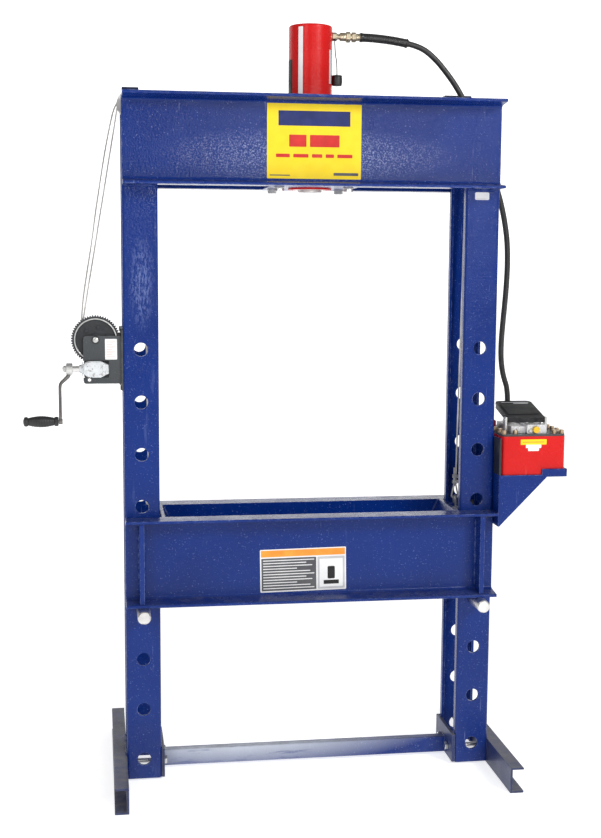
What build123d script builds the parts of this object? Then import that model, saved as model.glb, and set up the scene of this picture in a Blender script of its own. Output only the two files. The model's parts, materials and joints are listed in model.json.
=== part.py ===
from build123d import *
import os
from math import atan2, cos, hypot, pi, radians, sin, sqrt, tan

# H-frame shop press with an air-driven hydraulic pump and a hand winch that lifts the bed.
# Millimetres, +Z up, the front faces -Y.  The dimensions below are measured from the ram's
# axis; every part is then moved by PRESS_X, so that the origin is the middle of the footprint
# of the whole machine, with its crank handle on the left and its pump on the right.

# Uprights: each is a front and a rear channel, webs outward, joined only by the cross members
POST_OUTER_X = 552.0
POST_WIDTH = 101.6
POST_DEPTH = 195.0
POST_FLANGE = 26.0
POST_WALL = 8.0
POST_CORNER = 7.0
POST_BOTTOM_Z = 6.0
POST_TOP_Z = 2000.0
POST_COPE_Z = 1935.0
POST_INNER_X = POST_OUTER_X - POST_WIDTH
POST_MID_X = POST_OUTER_X - POST_WIDTH / 2
POST_FACE_Y = POST_DEPTH / 2

# Pin holes through the webs, and the two pins that carry the bed
HOLE_D = 39.0
HOLE_PITCH = 152.4
HOLE_COUNT = 9
FIRST_HOLE_Z = 66.2
PIN_D = 38.0
PIN_HALF_LENGTH = 200.0
PIN_CHAMFER = 3.0
PIN_HOLE_INDEX = 3
PIN_Z = FIRST_HOLE_Z + PIN_HOLE_INDEX * HOLE_PITCH - (HOLE_D - PIN_D) / 2

# Rolled channel of the head beam and the bed
CHANNEL_H = 254.0
CHANNEL_FLANGE = 66.0
CHANNEL_WEB = 8.0
CHANNEL_TIP_T = 8.0
CHANNEL_ROOT_T = 15.0
CHANNEL_TIP_R = 4.0
CHANNEL_ROOT_R = 9.0
BEAM_BOTTOM_Z = 1752.0
BEAM_TOP_Z = BEAM_BOTTOM_Z + CHANNEL_H
BEAM_HALF_LENGTH = 550.0

# Bed: two channels that clasp the uprights, two sloped end ties and eight stiffeners
BED_SIDE_GAP = 0.6
BED_PIN_GAP = 0.3
BED_WEB_Y = POST_FACE_Y + BED_SIDE_GAP
BED_BOTTOM_Z = PIN_Z + PIN_D / 2 + BED_PIN_GAP
BED_TOP_Z = BED_BOTTOM_Z + CHANNEL_H
BED_HALF_LENGTH = 551.0
STIFFENER_X = 505.0
STIFFENER_T = 14.0
TIE_TOP_X = 446.0
TIE_RUN_X = 36.0
TIE_DROP = 74.0
TIE_T = 10.0

# Feet and bottom brace
FOOT_H = 76.2
FOOT_FLANGE = 40.0
FOOT_WALL = 6.0
FOOT_HALF_LENGTH = 340.0
BRACE_Z0 = 10.0
BRACE_H = 50.0
BRACE_DEPTH = 32.0
BRACE_WALL = 4.0
END_PLATE_T = 10.0
END_PLATE_Z0 = 8.0
END_PLATE_H = 86.0
TIE_BOLT_Y = 44.0
TIE_BOLT_Z = 41.0
TIE_BOLT_D = 14.0

# Hydraulic cylinder, hung by a bolted plate between the beam's webs
CYL_D = 127.0
CYL_BORE = 95.3
CYL_BOTTOM_Z = 1747.0
CYL_TOP_Z = 2217.0
CYL_EDGE_R = 6.0
CYL_TOP_WALL = 35.0
GLAND_H = 40.0
ROD_D = 79.4
SADDLE_D = 71.4
SADDLE_H = 8.0
PISTON_H = 45.0
RAM_STROKE = 337.0
PLATE_T = 20.0
HEAD_PLATE_T = 30.0
PLATE_HALF_X = 128.0
HEAD_PLATE_HALF_X = 150.0
PLATE_BOLT_X = 101.0
PLATE_BOLT_Y = 80.0
PLATE_BOLT_D = 16.0

# Hydraulic coupling at the top of the cylinder
PORT_Z = 2190.0
PORT_D = 17.0
OIL_WAY_D = 6.0
HOSE_D = 17.0
GUARD_D = 27.0
GUARD_START_X = 146.0
GUARD_RADIUS = 760.0
GUARD_TURN = 11.0
LANYARD_D = 3.0
CAP_X = 79.0
CAP_TOP_Z = 2080.0
CAP_H = 30.0
CAP_D = 31.0

# Rope sheaves at the top of the uprights
ROPE_D = 5.0
SHEAVE_R = 35.0
SHEAVE_RIM_R = 39.5
SHEAVE_W = 12.0
SHEAVE_AXLE_Z = 1990.0
LEFT_SHEAVE_X = -522.0
RIGHT_SHEAVE_X = 461.0
LONG_ROPE_Y = 74.0
SHORT_ROPE_Y = 50.0
RIGHT_SHEAVE_Y = 68.0
AXLE_D = 14.0
GROOVE_GAP = 0.3

# Rope ends on the bed
LUG_X = 474.0
LUG_Y = 52.0
LUG_HOLE_Z = BED_TOP_Z - 19.0
LUG_T = 8.0
SHACKLE_D = 8.0
SHACKLE_PIN_D = 10.0
EYE_R = 10.0
EYE_LEG_X = 2.7
DROP_GAP = 0.3
CLIP_Z0 = BED_TOP_Z + 54.0
ROPE_DROP_Z0 = BED_TOP_Z + 92.0

# Winch on the outer side of the left upright
WINCH_X = -629.5
WINCH_Z = 1313.0
WHEEL_R = 70.0
WHEEL_TEETH = 58
TOOTH_DEPTH = 4.0
WHEEL_RIM = 9.0
WHEEL_HUB_R = 17.0
WHEEL_Y = -72.0
WHEEL_W = 15.0
WORM_Z = 1228.6
WORM_SHAFT_D = 17.0
WORM_D = 27.0
WORM_HALF_LENGTH = 21.0
WORM_BOX_X0 = -665.0
WORM_BOX_X1 = -594.0
WORM_BOX_Y0 = -96.0
WORM_BOX_DOWN = 23.0
WORM_BOX_UP = 23.5
DRUM_R = 36.0
DRUM_FLANGE_R = 58.0
DRUM_FLANGE_T = 4.0
DRUM_Y0 = -56.0
DRUM_Y1 = 74.0
DRUM_AXLE_D = 16.0
SIDE_PLATE_Y = 88.0
SIDE_PLATE_T = 4.0
SIDE_PLATE_X0 = -665.0
SIDE_PLATE_Z0 = 1187.0
SIDE_PLATE_Z1 = 1324.0
SIDE_HOLE_X = -648.0
SIDE_HOLE_Z = 1198.0
SIDE_HOLE_D = 9.0
BASE_T = 5.0
BASE_HALF_Y = 94.0
BASE_REACH = 20.0
WINCH_BOLT_OFFSET = 12.0
WINCH_BOLT_HEAD = 3.5
BRACKET_BOLT_HEAD = 6.5
COIL_PITCH = ROPE_D + 0.4
COIL_TURNS = 21
COIL_PITCH_R = DRUM_R + 1.5 * ROPE_D + 0.3
SHORT_ROPE_DRUM_Y = 20.0
LONG_ROPE_DRUM_Y = 44.0
LONG_ROPE_LEAVING = 4.5
LONG_ROPE_LANDING = 25.0
SIDE_BOLT_D = 10.0
SIDE_BOLT_Y = 80.5
SIDE_BOLT_GRIP = BASE_T
CRANK_HUB_X = -705.0
CRANK_ARM_X = -732.0
CRANK_R = 151.0
CRANK_ROD_D = 9.0
CRANK_HUB_D = 34.0
CRANK_ELBOW = 42.0
GRIP_LENGTH = 98.0
GRIP_CAP = 3.0
GRIP_GAP = 5.0
GRIP_D = 34.0
SPINDLE_D = 10.0

# Air-driven pump in its bracket on the outer side of the right upright
BACK_PLATE_Z1 = 1020.0
TANK_X0 = 560.0
TANK_X1 = 758.0
TANK_Y0 = -150.0
TANK_Y1 = 90.0
TANK_Z0 = 909.0
TANK_Z1 = 1025.0
TANK_WALL = 3.0
TANK_CORNER = 14.0
TOP_PLATE_T = 6.0
TRAY_T = 6.0
TRAY_LIP = 24.0
GUSSET_DROP = 148.0
GUSSET_REACH = 149.0
SCREW_ROWS = 6
SCREW_INSET_X = 10.0
SCREW_INSET_Y = 12.0
FRONT_SCREWS_X = (604.0, 724.0)
TREADLE_X0 = 592.0
TREADLE_X1 = 707.0
TREADLE_HINGE_Y = -92.0
TREADLE_HINGE_Z = 1069.0
TREADLE_LENGTH = 140.0
TREADLE_SLOPE = 13.5
OUTLET_X = 640.0
OUTLET_Y = 60.0
OUTLET_Z = 1086.0

RUN_GAP = 0.05      # radial clearance of a running fit

GRIP_TIP_X = CRANK_ARM_X - GRIP_GAP - GRIP_LENGTH - GRIP_CAP
BRACKET_TIP_X = TANK_X1 + 4
PRESS_X = -(GRIP_TIP_X + BRACKET_TIP_X) / 2


# ---------------------------------------------------------------- shapes
def block(x0, x1, y0, y1, z0, z1):
    """A box from one corner to the opposite one, in any order."""
    centre = Pos((x0 + x1) / 2, (y0 + y1) / 2, (z0 + z1) / 2)
    return centre * Box(abs(x1 - x0), abs(y1 - y0), abs(z1 - z0))


def rod(start, end, diameter):
    """A round bar between two points."""
    path = Vector(*end) - Vector(*start)
    plane = Plane(origin=start, z_dir=path.normalized())
    return extrude(plane * Circle(diameter / 2), path.length)


def rod_x(x0, x1, y, z, diameter):
    return rod((x0, y, z), (x1, y, z), diameter)


def rod_y(x, y0, y1, z, diameter):
    return rod((x, y0, z), (x, y1, z), diameter)


def rod_z(x, y, z0, z1, diameter):
    return rod((x, y, z0), (x, y, z1), diameter)


def hexagon(start, end, across_flats):
    """A hexagonal bar, such as a bolt head or a nut."""
    path = Vector(*end) - Vector(*start)
    plane = Plane(origin=start, z_dir=path.normalized())
    return extrude(plane * RegularPolygon(across_flats / 2, 6, major_radius=False), path.length)


def prism_y(points, y0, y1):
    """A flat outline in X and Z, made thick along Y."""
    plane = Plane(origin=(0, y0, 0), x_dir=(1, 0, 0), z_dir=(0, -1, 0))
    return extrude(plane * make_face(Polyline(*points, close=True)), y0 - y1)


def prism_z(points, z0, z1):
    """A flat outline in X and Y, made thick along Z."""
    return Pos(0, 0, z0) * extrude(make_face(Polyline(*points, close=True)), z1 - z0)


def round_upright_edges(shape, radius):
    return fillet(shape.edges().filter_by(Axis.Z), radius)


def tube(points, radii, diameter):
    """A round cord along straight runs joined by arcs, one radius for each inner corner."""
    path = FilletPolyline(*points, radius=radii) if len(points) > 2 else Line(*points)
    start = Plane(origin=path @ 0, z_dir=path % 0)
    return sweep(start * Circle(diameter / 2), path)


def arc_radii(points):
    """The radius of each inner corner's arc: as large as its two runs allow."""
    radii = []
    for before, corner, after in zip(points, points[1:], points[2:]):
        run_in = Vector(*corner) - Vector(*before)
        run_out = Vector(*after) - Vector(*corner)
        half_turn = radians(run_in.get_angle(run_out)) / 2
        radii.append(0.45 * min(run_in.length, run_out.length) / tan(half_turn))
    return radii


def mirror_x(shape):
    return mirror(shape, Plane.YZ)


def mirror_y(shape):
    return mirror(shape, Plane.XZ)


def save(name, shapes):
    """Write one node, moved into the machine's own frame."""
    group = shapes if isinstance(shapes, list) else [shapes]
    solids = [solid for shape in group for solid in shape.solids()]
    moved = [Pos(PRESS_X, 0, 0) * solid for solid in solids]
    node = moved[0] if len(moved) == 1 else Compound(children=moved)
    export_step(node, f"parts/{name}.step")


# ---------------------------------------------------------------- uprights
def hole_heights():
    return [FIRST_HOLE_Z + index * HOLE_PITCH for index in range(HOLE_COUNT)]


def front_post_channel():
    """The front channel of the right upright, with its flanges turned inward."""
    x0, x1, y = POST_INNER_X, POST_OUTER_X, -POST_FACE_Y
    height = POST_TOP_Z - POST_BOTTOM_Z
    outer = block(x0, x1, y, y + POST_FLANGE, POST_BOTTOM_Z, POST_TOP_Z)
    corners = outer.edges().filter_by(Axis.Z).group_by(Axis.Y)[0]
    outer = fillet(corners, POST_CORNER)
    hollow = block(x0 + POST_WALL, x1 - POST_WALL, y + POST_WALL, y + POST_FLANGE + 1,
                   POST_BOTTOM_Z - 1, POST_BOTTOM_Z + height + 1)
    cope = block(x0 - 1, x1 + 1, y + POST_WALL, y + POST_FLANGE + 1, POST_COPE_Z, POST_TOP_Z + 1)
    channel = outer - hollow - cope
    for z in hole_heights():
        channel -= rod_y(POST_MID_X, y - 1, y + POST_WALL + 1, z, HOLE_D)
    return channel


def posts():
    front = front_post_channel()
    front_holed = front
    for z in bracket_bolt_heights():
        front_holed -= rod_x(POST_OUTER_X - 20, POST_OUTER_X + 1, -SIDE_BOLT_Y, z, SIDE_BOLT_D + 1)
    save("right_post", [front_holed, mirror_y(front_holed)])
    left = mirror_x(front)
    for z in winch_bolt_heights():
        left -= rod_x(-POST_OUTER_X - 1, -POST_OUTER_X + 20, -SIDE_BOLT_Y, z, SIDE_BOLT_D + 1)
    save("left_post", [left, mirror_y(left)])


# ---------------------------------------------------------------- head beam and bed channels
def rolled_channel(half_length, web_y, bottom_z):
    """A rolled channel along X, web at web_y and tapered flanges towards +Y."""
    plane = Plane(origin=(-half_length, web_y, bottom_z), x_dir=(0, 1, 0), z_dir=(1, 0, 0))
    tip, web, height = CHANNEL_FLANGE, CHANNEL_WEB, CHANNEL_H
    outline = Polyline(
        (0, 0), (tip, 0), (tip, CHANNEL_TIP_T), (web, CHANNEL_ROOT_T),
        (web, height - CHANNEL_ROOT_T), (tip, height - CHANNEL_TIP_T), (tip, height), (0, height),
        close=True)
    section = make_face(outline)
    section = fillet([v for v in section.vertices() if abs(v.X - tip) < 0.1
                      and CHANNEL_TIP_T - 0.1 < v.Y < height - CHANNEL_TIP_T + 0.1], CHANNEL_TIP_R)
    section = fillet([v for v in section.vertices() if abs(v.X - web) < 0.1], CHANNEL_ROOT_R)
    return extrude(plane * section, 2 * half_length)


def head_beam():
    rear = rolled_channel(BEAM_HALF_LENGTH, POST_FACE_Y, BEAM_BOTTOM_Z)
    save("beam_rear_channel", rear)
    save("beam_front_channel", mirror_y(rear))


def tie_outline():
    """The sloped end tie seen from the front, its top edge next to the right upright."""
    slope = atan2(TIE_RUN_X, TIE_DROP)
    run = TIE_T / cos(slope)
    return [(TIE_TOP_X, BED_TOP_Z), (TIE_TOP_X - run, BED_TOP_Z),
            (TIE_TOP_X - run - TIE_RUN_X, BED_TOP_Z - TIE_DROP),
            (TIE_TOP_X - TIE_RUN_X, BED_TOP_Z - TIE_DROP)]


def stiffener():
    """One upright plate in the hollow of the bed's front channel, on the right."""
    half = STIFFENER_T / 2
    y0 = -BED_WEB_Y - CHANNEL_WEB
    y1 = -BED_WEB_Y - CHANNEL_FLANGE + 7
    z0, z1 = BED_BOTTOM_Z + CHANNEL_ROOT_T, BED_TOP_Z - CHANNEL_ROOT_T
    tip_rise = CHANNEL_ROOT_T - CHANNEL_TIP_T
    clear = 0.4
    rise = tip_rise * (y0 - y1) / (CHANNEL_FLANGE - CHANNEL_WEB) - clear
    plane = Plane(origin=(STIFFENER_X - half, 0, 0), x_dir=(0, 1, 0), z_dir=(1, 0, 0))
    chamfered = [(y0, z0 + 8), (y0 - 8, z0), (y1, z0 - rise), (y1, z1 + rise), (y0 - 8, z1), (y0, z1 - 8)]
    return extrude(plane * make_face(Polyline(*chamfered, close=True)), STIFFENER_T)


def end_tie():
    """The right end tie with the lug that takes the lifting rope's shackle."""
    lug = block(TIE_TOP_X - 14, LUG_X + 14, LUG_Y - LUG_T / 2, LUG_Y + LUG_T / 2,
                LUG_HOLE_Z - 14, LUG_HOLE_Z + 14)
    lug = fillet(lug.edges().filter_by(Axis.Y).group_by(Axis.X)[-1], 11)
    lug -= rod_y(LUG_X, LUG_Y - 10, LUG_Y + 10, LUG_HOLE_Z, SHACKLE_PIN_D + 2)
    return prism_y(tie_outline(), -BED_WEB_Y, BED_WEB_Y) + lug


def bed():
    rear = rolled_channel(BED_HALF_LENGTH, BED_WEB_Y, BED_BOTTOM_Z)
    save("bed_rear_channel", rear)
    save("bed_front_channel", mirror_y(rear))
    plate = stiffener()
    save("bed_stiffeners", [plate, mirror_x(plate), mirror_y(plate), mirror_x(mirror_y(plate))])
    tie = end_tie()
    save("bed_end_ties", [tie, mirror_x(tie)])


def pins():
    pin = rod_y(POST_MID_X, -PIN_HALF_LENGTH, PIN_HALF_LENGTH, PIN_Z, PIN_D)
    pin = chamfer(pin.edges().filter_by(GeomType.CIRCLE), PIN_CHAMFER)
    save("right_pin", pin)
    save("left_pin", mirror_x(pin))


# ---------------------------------------------------------------- feet and brace
def feet():
    x0, length = POST_OUTER_X, FOOT_HALF_LENGTH
    foot = block(x0, x0 + FOOT_FLANGE, -length, length, 0, FOOT_H)
    foot -= block(x0 + FOOT_WALL, x0 + FOOT_FLANGE + 1, -length - 1, length + 1, FOOT_WALL, FOOT_H - FOOT_WALL)
    tips = [e for e in foot.edges().filter_by(Axis.Y) if abs(e.center().X - x0 - FOOT_FLANGE) < 0.1
            and (abs(e.center().Z) < 0.1 or abs(e.center().Z - FOOT_H) < 0.1)]
    foot = fillet(tips, 3)
    for y in (-TIE_BOLT_Y, TIE_BOLT_Y):
        foot -= rod_x(x0 - 1, x0 + FOOT_WALL + 1, y, TIE_BOLT_Z, TIE_BOLT_D + 1)
    save("feet", [foot, mirror_x(foot)])


def brace():
    x_end = POST_INNER_X - END_PLATE_T
    half = BRACE_DEPTH / 2
    bar = block(-x_end, x_end, -half, half, BRACE_Z0, BRACE_Z0 + BRACE_H)
    bar = fillet(bar.edges().filter_by(Axis.X), 5)
    bar -= block(-x_end - 1, x_end + 1, -half + BRACE_WALL, half - BRACE_WALL,
                 BRACE_Z0 + BRACE_WALL, BRACE_Z0 + BRACE_H - BRACE_WALL)
    save("bottom_brace", bar)
    plate = block(x_end, POST_INNER_X, -POST_FACE_Y, POST_FACE_Y, END_PLATE_Z0, END_PLATE_Z0 + END_PLATE_H)
    bolts = []
    for y in (-TIE_BOLT_Y, TIE_BOLT_Y):
        plate -= rod_x(x_end - 1, POST_INNER_X + 1, y, TIE_BOLT_Z, TIE_BOLT_D + 1)
        bolts.append(tie_bolt(x_end, y))
    save("brace_end_plates", [plate, mirror_x(plate)])
    save("tie_bolts", bolts + [mirror_x(bolt) for bolt in bolts])


def tie_bolt(x_end, y):
    """A long bolt from the brace's end plate through the upright to the foot, with its nut."""
    x_foot = POST_OUTER_X + FOOT_WALL
    head = hexagon((x_end - 9, y, TIE_BOLT_Z), (x_end, y, TIE_BOLT_Z), 22)
    shank = rod_x(x_end - 0.1, x_foot + 18, y, TIE_BOLT_Z, TIE_BOLT_D)
    nut = hexagon((x_foot, y, TIE_BOLT_Z), (x_foot + 12, y, TIE_BOLT_Z), 22)
    return head + shank + nut


# ---------------------------------------------------------------- cylinder and ram
def cylinder():
    barrel = rod_z(0, 0, CYL_BOTTOM_Z, CYL_TOP_Z, CYL_D)
    barrel = fillet(barrel.edges().filter_by(GeomType.CIRCLE).sort_by(Axis.Z)[-1], CYL_EDGE_R)
    barrel -= rod_z(0, 0, CYL_BOTTOM_Z - 1, CYL_TOP_Z - CYL_TOP_WALL, CYL_BORE)
    way_x = CYL_BORE / 2 - OIL_WAY_D
    barrel -= rod_x(way_x - 1, CYL_D / 2 + 1, 0, PORT_Z, PORT_D)
    barrel -= rod_z(way_x, 0, CYL_TOP_Z - CYL_TOP_WALL - 1, PORT_Z, OIL_WAY_D)
    save("cylinder_barrel", barrel)
    gland = rod_z(0, 0, CYL_BOTTOM_Z, CYL_BOTTOM_Z + GLAND_H, CYL_BORE)
    gland -= rod_z(0, 0, CYL_BOTTOM_Z - 1, CYL_BOTTOM_Z + GLAND_H + 1, ROD_D + 2 * RUN_GAP)
    save("cylinder_gland", gland)


def mounting_plates():
    half_y = POST_FACE_Y
    z1 = BEAM_BOTTOM_Z + PLATE_T
    lower = block(-PLATE_HALF_X, PLATE_HALF_X, -half_y, half_y, BEAM_BOTTOM_Z, z1)
    lower = round_upright_edges(lower, 6)
    upper = block(-HEAD_PLATE_HALF_X, HEAD_PLATE_HALF_X, -half_y, half_y, z1, z1 + HEAD_PLATE_T)
    bolts = []
    for x in (-PLATE_BOLT_X, PLATE_BOLT_X):
        for y in (-PLATE_BOLT_Y, PLATE_BOLT_Y):
            hole = rod_z(x, y, BEAM_BOTTOM_Z - 1, z1 + HEAD_PLATE_T + 1, PLATE_BOLT_D + 1)
            lower -= hole
            upper -= hole
            bolts.append(plate_bolt(x, y))
    centre = rod_z(0, 0, BEAM_BOTTOM_Z - 1, z1 + HEAD_PLATE_T + 1, CYL_D)
    save("cylinder_plate", lower - centre)
    save("head_plate", upper - centre)
    save("cylinder_plate_bolts", bolts)


def plate_bolt(x, y):
    """One hexagon bolt from below, with its washer and its nut above the head plate."""
    top = BEAM_BOTTOM_Z + PLATE_T + HEAD_PLATE_T
    washer = rod_z(x, y, BEAM_BOTTOM_Z - 3, BEAM_BOTTOM_Z, 30)
    head = hexagon((x, y, BEAM_BOTTOM_Z - 13), (x, y, BEAM_BOTTOM_Z - 3), 24)
    shank = rod_z(x, y, BEAM_BOTTOM_Z - 3.1, top + 20, PLATE_BOLT_D)
    nut = hexagon((x, y, top), (x, y, top + 14), 24)
    return washer + head + shank + nut


def ram():
    top = CYL_TOP_Z - CYL_TOP_WALL - 1
    bottom = top - PISTON_H
    plunger = rod_z(0, 0, CYL_BOTTOM_Z, bottom, ROD_D)
    spring_room = rod_z(0, 0, CYL_BOTTOM_Z + 90, bottom + 1, 46)
    save("ram_plunger", plunger - spring_room)
    piston = rod_z(0, 0, bottom, top, CYL_BORE - 2 * RUN_GAP)
    piston -= rod_z(0, 0, bottom - 1, top + 1, 46)
    groove = rod_z(0, 0, bottom + 18, bottom + 27, CYL_BORE + 2) - rod_z(0, 0, bottom + 18, bottom + 27, 84)
    save("ram_piston", piston - groove)
    saddle = rod_z(0, 0, CYL_BOTTOM_Z - SADDLE_H, CYL_BOTTOM_Z, SADDLE_D)
    saddle = chamfer(saddle.edges().filter_by(GeomType.CIRCLE).sort_by(Axis.Z)[0], 2)
    save("ram_saddle", saddle)
    spring = rod_z(0, 0, CYL_BOTTOM_Z + 90, top, 38) - rod_z(0, 0, CYL_BOTTOM_Z + 89, top + 1, 26)
    save("return_spring", spring)


# ---------------------------------------------------------------- hydraulic line
def guard_path():
    """The stiff bend guard over the hose's first stretch: it droops along a wide arc."""
    start = (GUARD_START_X, 0, PORT_Z)
    turn = radians(GUARD_TURN)
    middle = (GUARD_START_X + GUARD_RADIUS * sin(turn / 2), 0, PORT_Z - GUARD_RADIUS * (1 - cos(turn / 2)))
    end = (GUARD_START_X + GUARD_RADIUS * sin(turn), 0, PORT_Z - GUARD_RADIUS * (1 - cos(turn)))
    return ThreePointArc(start, middle, end)


HOSE_POINTS = [
    (291.02, 0, 2176.04), (328.3, 0, 2168.79), (370, 0, 2139), (405, 0, 2101), (438, 0, 2059), (465, 0, 2014),
    (489, 0, 1965), (511, 0, 1913), (533, 0, 1860), (554, 0, 1807), (573, 0, 1756), (588, 1, 1708),
    (600, 3, 1658), (609, 6, 1607), (613, 9, 1555), (614, 13, 1502), (613, 18, 1449), (611, 24, 1396),
    (609, 31, 1343), (608, 38, 1291), (611, 46, 1240), (621, 54, 1191), (OUTLET_X, OUTLET_Y, 1144),
    (OUTLET_X, OUTLET_Y, 1100)]

LANYARD_POINTS = [(71.5, 0, 2178.9), (72.5, 0, 2146), (CAP_X, 0, 2114), (CAP_X, 0, CAP_TOP_Z + 2)]


def hydraulic_line():
    x = CYL_D / 2
    fitting = rod_x(x - 10, x + 22, 0, PORT_Z, PORT_D) + rod_x(x, x + 14, 0, PORT_Z, 22)
    collar = rod_x(x + 22, 104, 0, PORT_Z, 24)
    collar = chamfer(collar.edges().filter_by(GeomType.CIRCLE), 1.5)
    nuts = hexagon((104, 0, PORT_Z), (117, 0, PORT_Z), 27) + hexagon((121, 0, PORT_Z), (134, 0, PORT_Z), 25)
    neck = rod_x(116, 122, 0, PORT_Z, 20) + rod_x(134, GUARD_START_X, 0, PORT_Z, 22)
    save("quick_coupler", fitting + collar + nuts + neck)
    arc = guard_path()
    guard = sweep(Plane(origin=arc @ 0, z_dir=arc % 0) * Circle(GUARD_D / 2), arc)
    save("hose_guard", guard)
    hose_line = tube(HOSE_POINTS, arc_radii(HOSE_POINTS), HOSE_D)
    save("hydraulic_hose", hose_line)
    lanyard = tube(LANYARD_POINTS, arc_radii(LANYARD_POINTS), LANYARD_D)
    save("cap_lanyard", lanyard)
    cap = rod_z(CAP_X, 0, CAP_TOP_Z - CAP_H, CAP_TOP_Z, CAP_D) + rod_z(CAP_X, 0, CAP_TOP_Z, CAP_TOP_Z + 2, 8)
    cap = chamfer(cap.edges().filter_by(GeomType.CIRCLE).sort_by(Axis.Z)[0], 2)
    save("dust_cap", cap)
    report_cord("hose", HOSE_POINTS, hose_line, HOSE_D)
    report_cord("lanyard", LANYARD_POINTS, lanyard, LANYARD_D)


def report_cord(name, points, solid, diameter):
    """Print a cord's arcs, its length, and its volume against section times length."""
    radii = arc_radii(points)
    length = FilletPolyline(*points, radius=radii).length
    share = solid.volume / (pi * diameter ** 2 / 4 * length)
    print(name, "radii", [round(radius) for radius in radii])
    print(name, "length", round(length, 1), "volume share", round(share, 4))


# ---------------------------------------------------------------- sheaves, ropes and rope ends
def sheave(x, y):
    """A grooved rope pulley; the groove's floor carries the rope's underside."""
    floor = SHEAVE_R - ROPE_D / 2 - GROOVE_GAP
    half = SHEAVE_W / 2
    outline = [(AXLE_D / 2 + RUN_GAP, -half), (SHEAVE_RIM_R, -half), (SHEAVE_RIM_R, -half + 1.6),
               (floor, -ROPE_D / 2 - GROOVE_GAP), (floor, ROPE_D / 2 + GROOVE_GAP),
               (SHEAVE_RIM_R, half - 1.6), (SHEAVE_RIM_R, half), (AXLE_D / 2 + RUN_GAP, half)]
    plane = Plane(origin=(x, y, SHEAVE_AXLE_Z), x_dir=(1, 0, 0), z_dir=(0, 0, 1))
    section = plane * make_face(Polyline(*outline, close=True))
    return revolve(section, Axis((x, y, SHEAVE_AXLE_Z), (0, 1, 0)), 360)


def sheave_bracket(x, y0, y1):
    """A box over a sheave: two cheeks and a lid, the rear cheek against the upright's web."""
    half, lid_z, cheek, low = 24.0, 2033.0, 4.0, 1950.0
    if x > 0:
        half = 41.0
    front = block(x - half, x + half, y0, y0 + cheek, low, lid_z)
    rear = block(x - half, x + half, y1 - cheek, y1, low, lid_z)
    lid = block(x - half, x + half, y0, y1, lid_z, lid_z + cheek)
    body = front + rear + lid
    return body - rod_y(x, y0 - 1, y1 + 1, SHEAVE_AXLE_Z, AXLE_D)


def sheaves():
    rear_y = POST_FACE_Y - POST_WALL
    save("sheave_brackets", [sheave_bracket(LEFT_SHEAVE_X, 38, rear_y),
                             sheave_bracket(RIGHT_SHEAVE_X, 54, rear_y)])
    save("sheave_axles", [rod_y(LEFT_SHEAVE_X, 34, rear_y, SHEAVE_AXLE_Z, AXLE_D),
                          rod_y(RIGHT_SHEAVE_X, 50, rear_y, SHEAVE_AXLE_Z, AXLE_D)])
    save("left_sheave_long_rope", sheave(LEFT_SHEAVE_X, LONG_ROPE_Y))
    save("left_sheave_short_rope", sheave(LEFT_SHEAVE_X, SHORT_ROPE_Y))
    save("right_sheave", sheave(RIGHT_SHEAVE_X, RIGHT_SHEAVE_Y))


def ropes():
    """Each rope is held all the way: drum, sheaves, then a vertical drop to the bed."""
    radius = ROPE_D / 2
    top_z = SHEAVE_AXLE_Z + SHEAVE_R
    # the short rope: taut from the drum to the front sheave, over it and down inside the upright
    reach = (LEFT_SHEAVE_X - WINCH_X, SHEAVE_AXLE_Z - WINCH_Z)
    taut = atan2(*reach) + atan2(COIL_PITCH_R - SHEAVE_R, hypot(*reach))
    landing = off_sheave(taut, SHORT_ROPE_Y)
    crest = (LEFT_SHEAVE_X, SHORT_ROPE_Y, top_z)
    down = (LEFT_SHEAVE_X + SHEAVE_R, SHORT_ROPE_Y, SHEAVE_AXLE_Z)
    rise = Line(off_drum(taut, SHORT_ROPE_DRUM_Y), landing)
    save("short_rope", round_section(rise, radius) + wrap(landing, crest, down, radius))
    save("short_rope_drop", rope_drop(-1, down))
    # the long rope: a little slack beside the short one, then across the beam to the right sheave
    slope = radians(LONG_ROPE_LANDING)
    landing = off_sheave(slope, LONG_ROPE_Y)
    last = (landing[0] - 44 * sin(slope), LONG_ROPE_Y - 0.5, landing[2] - 44 * cos(slope))
    slack = [off_drum(radians(LONG_ROPE_LEAVING), LONG_ROPE_DRUM_Y), (-664.5, 47, 1424), (-638, 53, 1590),
             (-621, 60, 1706), (-595, 68, 1860), last, landing]
    crest = (LEFT_SHEAVE_X, LONG_ROPE_Y, top_z)
    middle = off_sheave(slope + (pi / 2 - slope) / 2, LONG_ROPE_Y)
    far_crest = (RIGHT_SHEAVE_X, RIGHT_SHEAVE_Y, top_z)
    edge = (RIGHT_SHEAVE_X + SHEAVE_R, RIGHT_SHEAVE_Y, SHEAVE_AXLE_Z)
    corner = SHEAVE_R * sqrt(0.5)
    far_middle = (RIGHT_SHEAVE_X + corner, RIGHT_SHEAVE_Y, SHEAVE_AXLE_Z + corner)
    long_rope = tube(slack, [min(r, 900) for r in arc_radii(slack)], ROPE_D)
    long_rope += wrap(landing, middle, crest, radius)
    long_rope += round_section(Line(crest, far_crest), radius)
    long_rope += wrap(far_crest, far_middle, edge, radius)
    save("long_rope", long_rope)
    save("long_rope_drop", rope_drop(1, edge))


def off_drum(lean, y):
    """Where a rope leaning by this angle leaves the drum's left side."""
    return (WINCH_X - COIL_PITCH_R * cos(lean), y, WINCH_Z + COIL_PITCH_R * sin(lean))


def off_sheave(lean, y):
    """Where a rope leaning by this angle lands on the left sheave."""
    return (LEFT_SHEAVE_X - SHEAVE_R * cos(lean), y, SHEAVE_AXLE_Z + SHEAVE_R * sin(lean))


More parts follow.
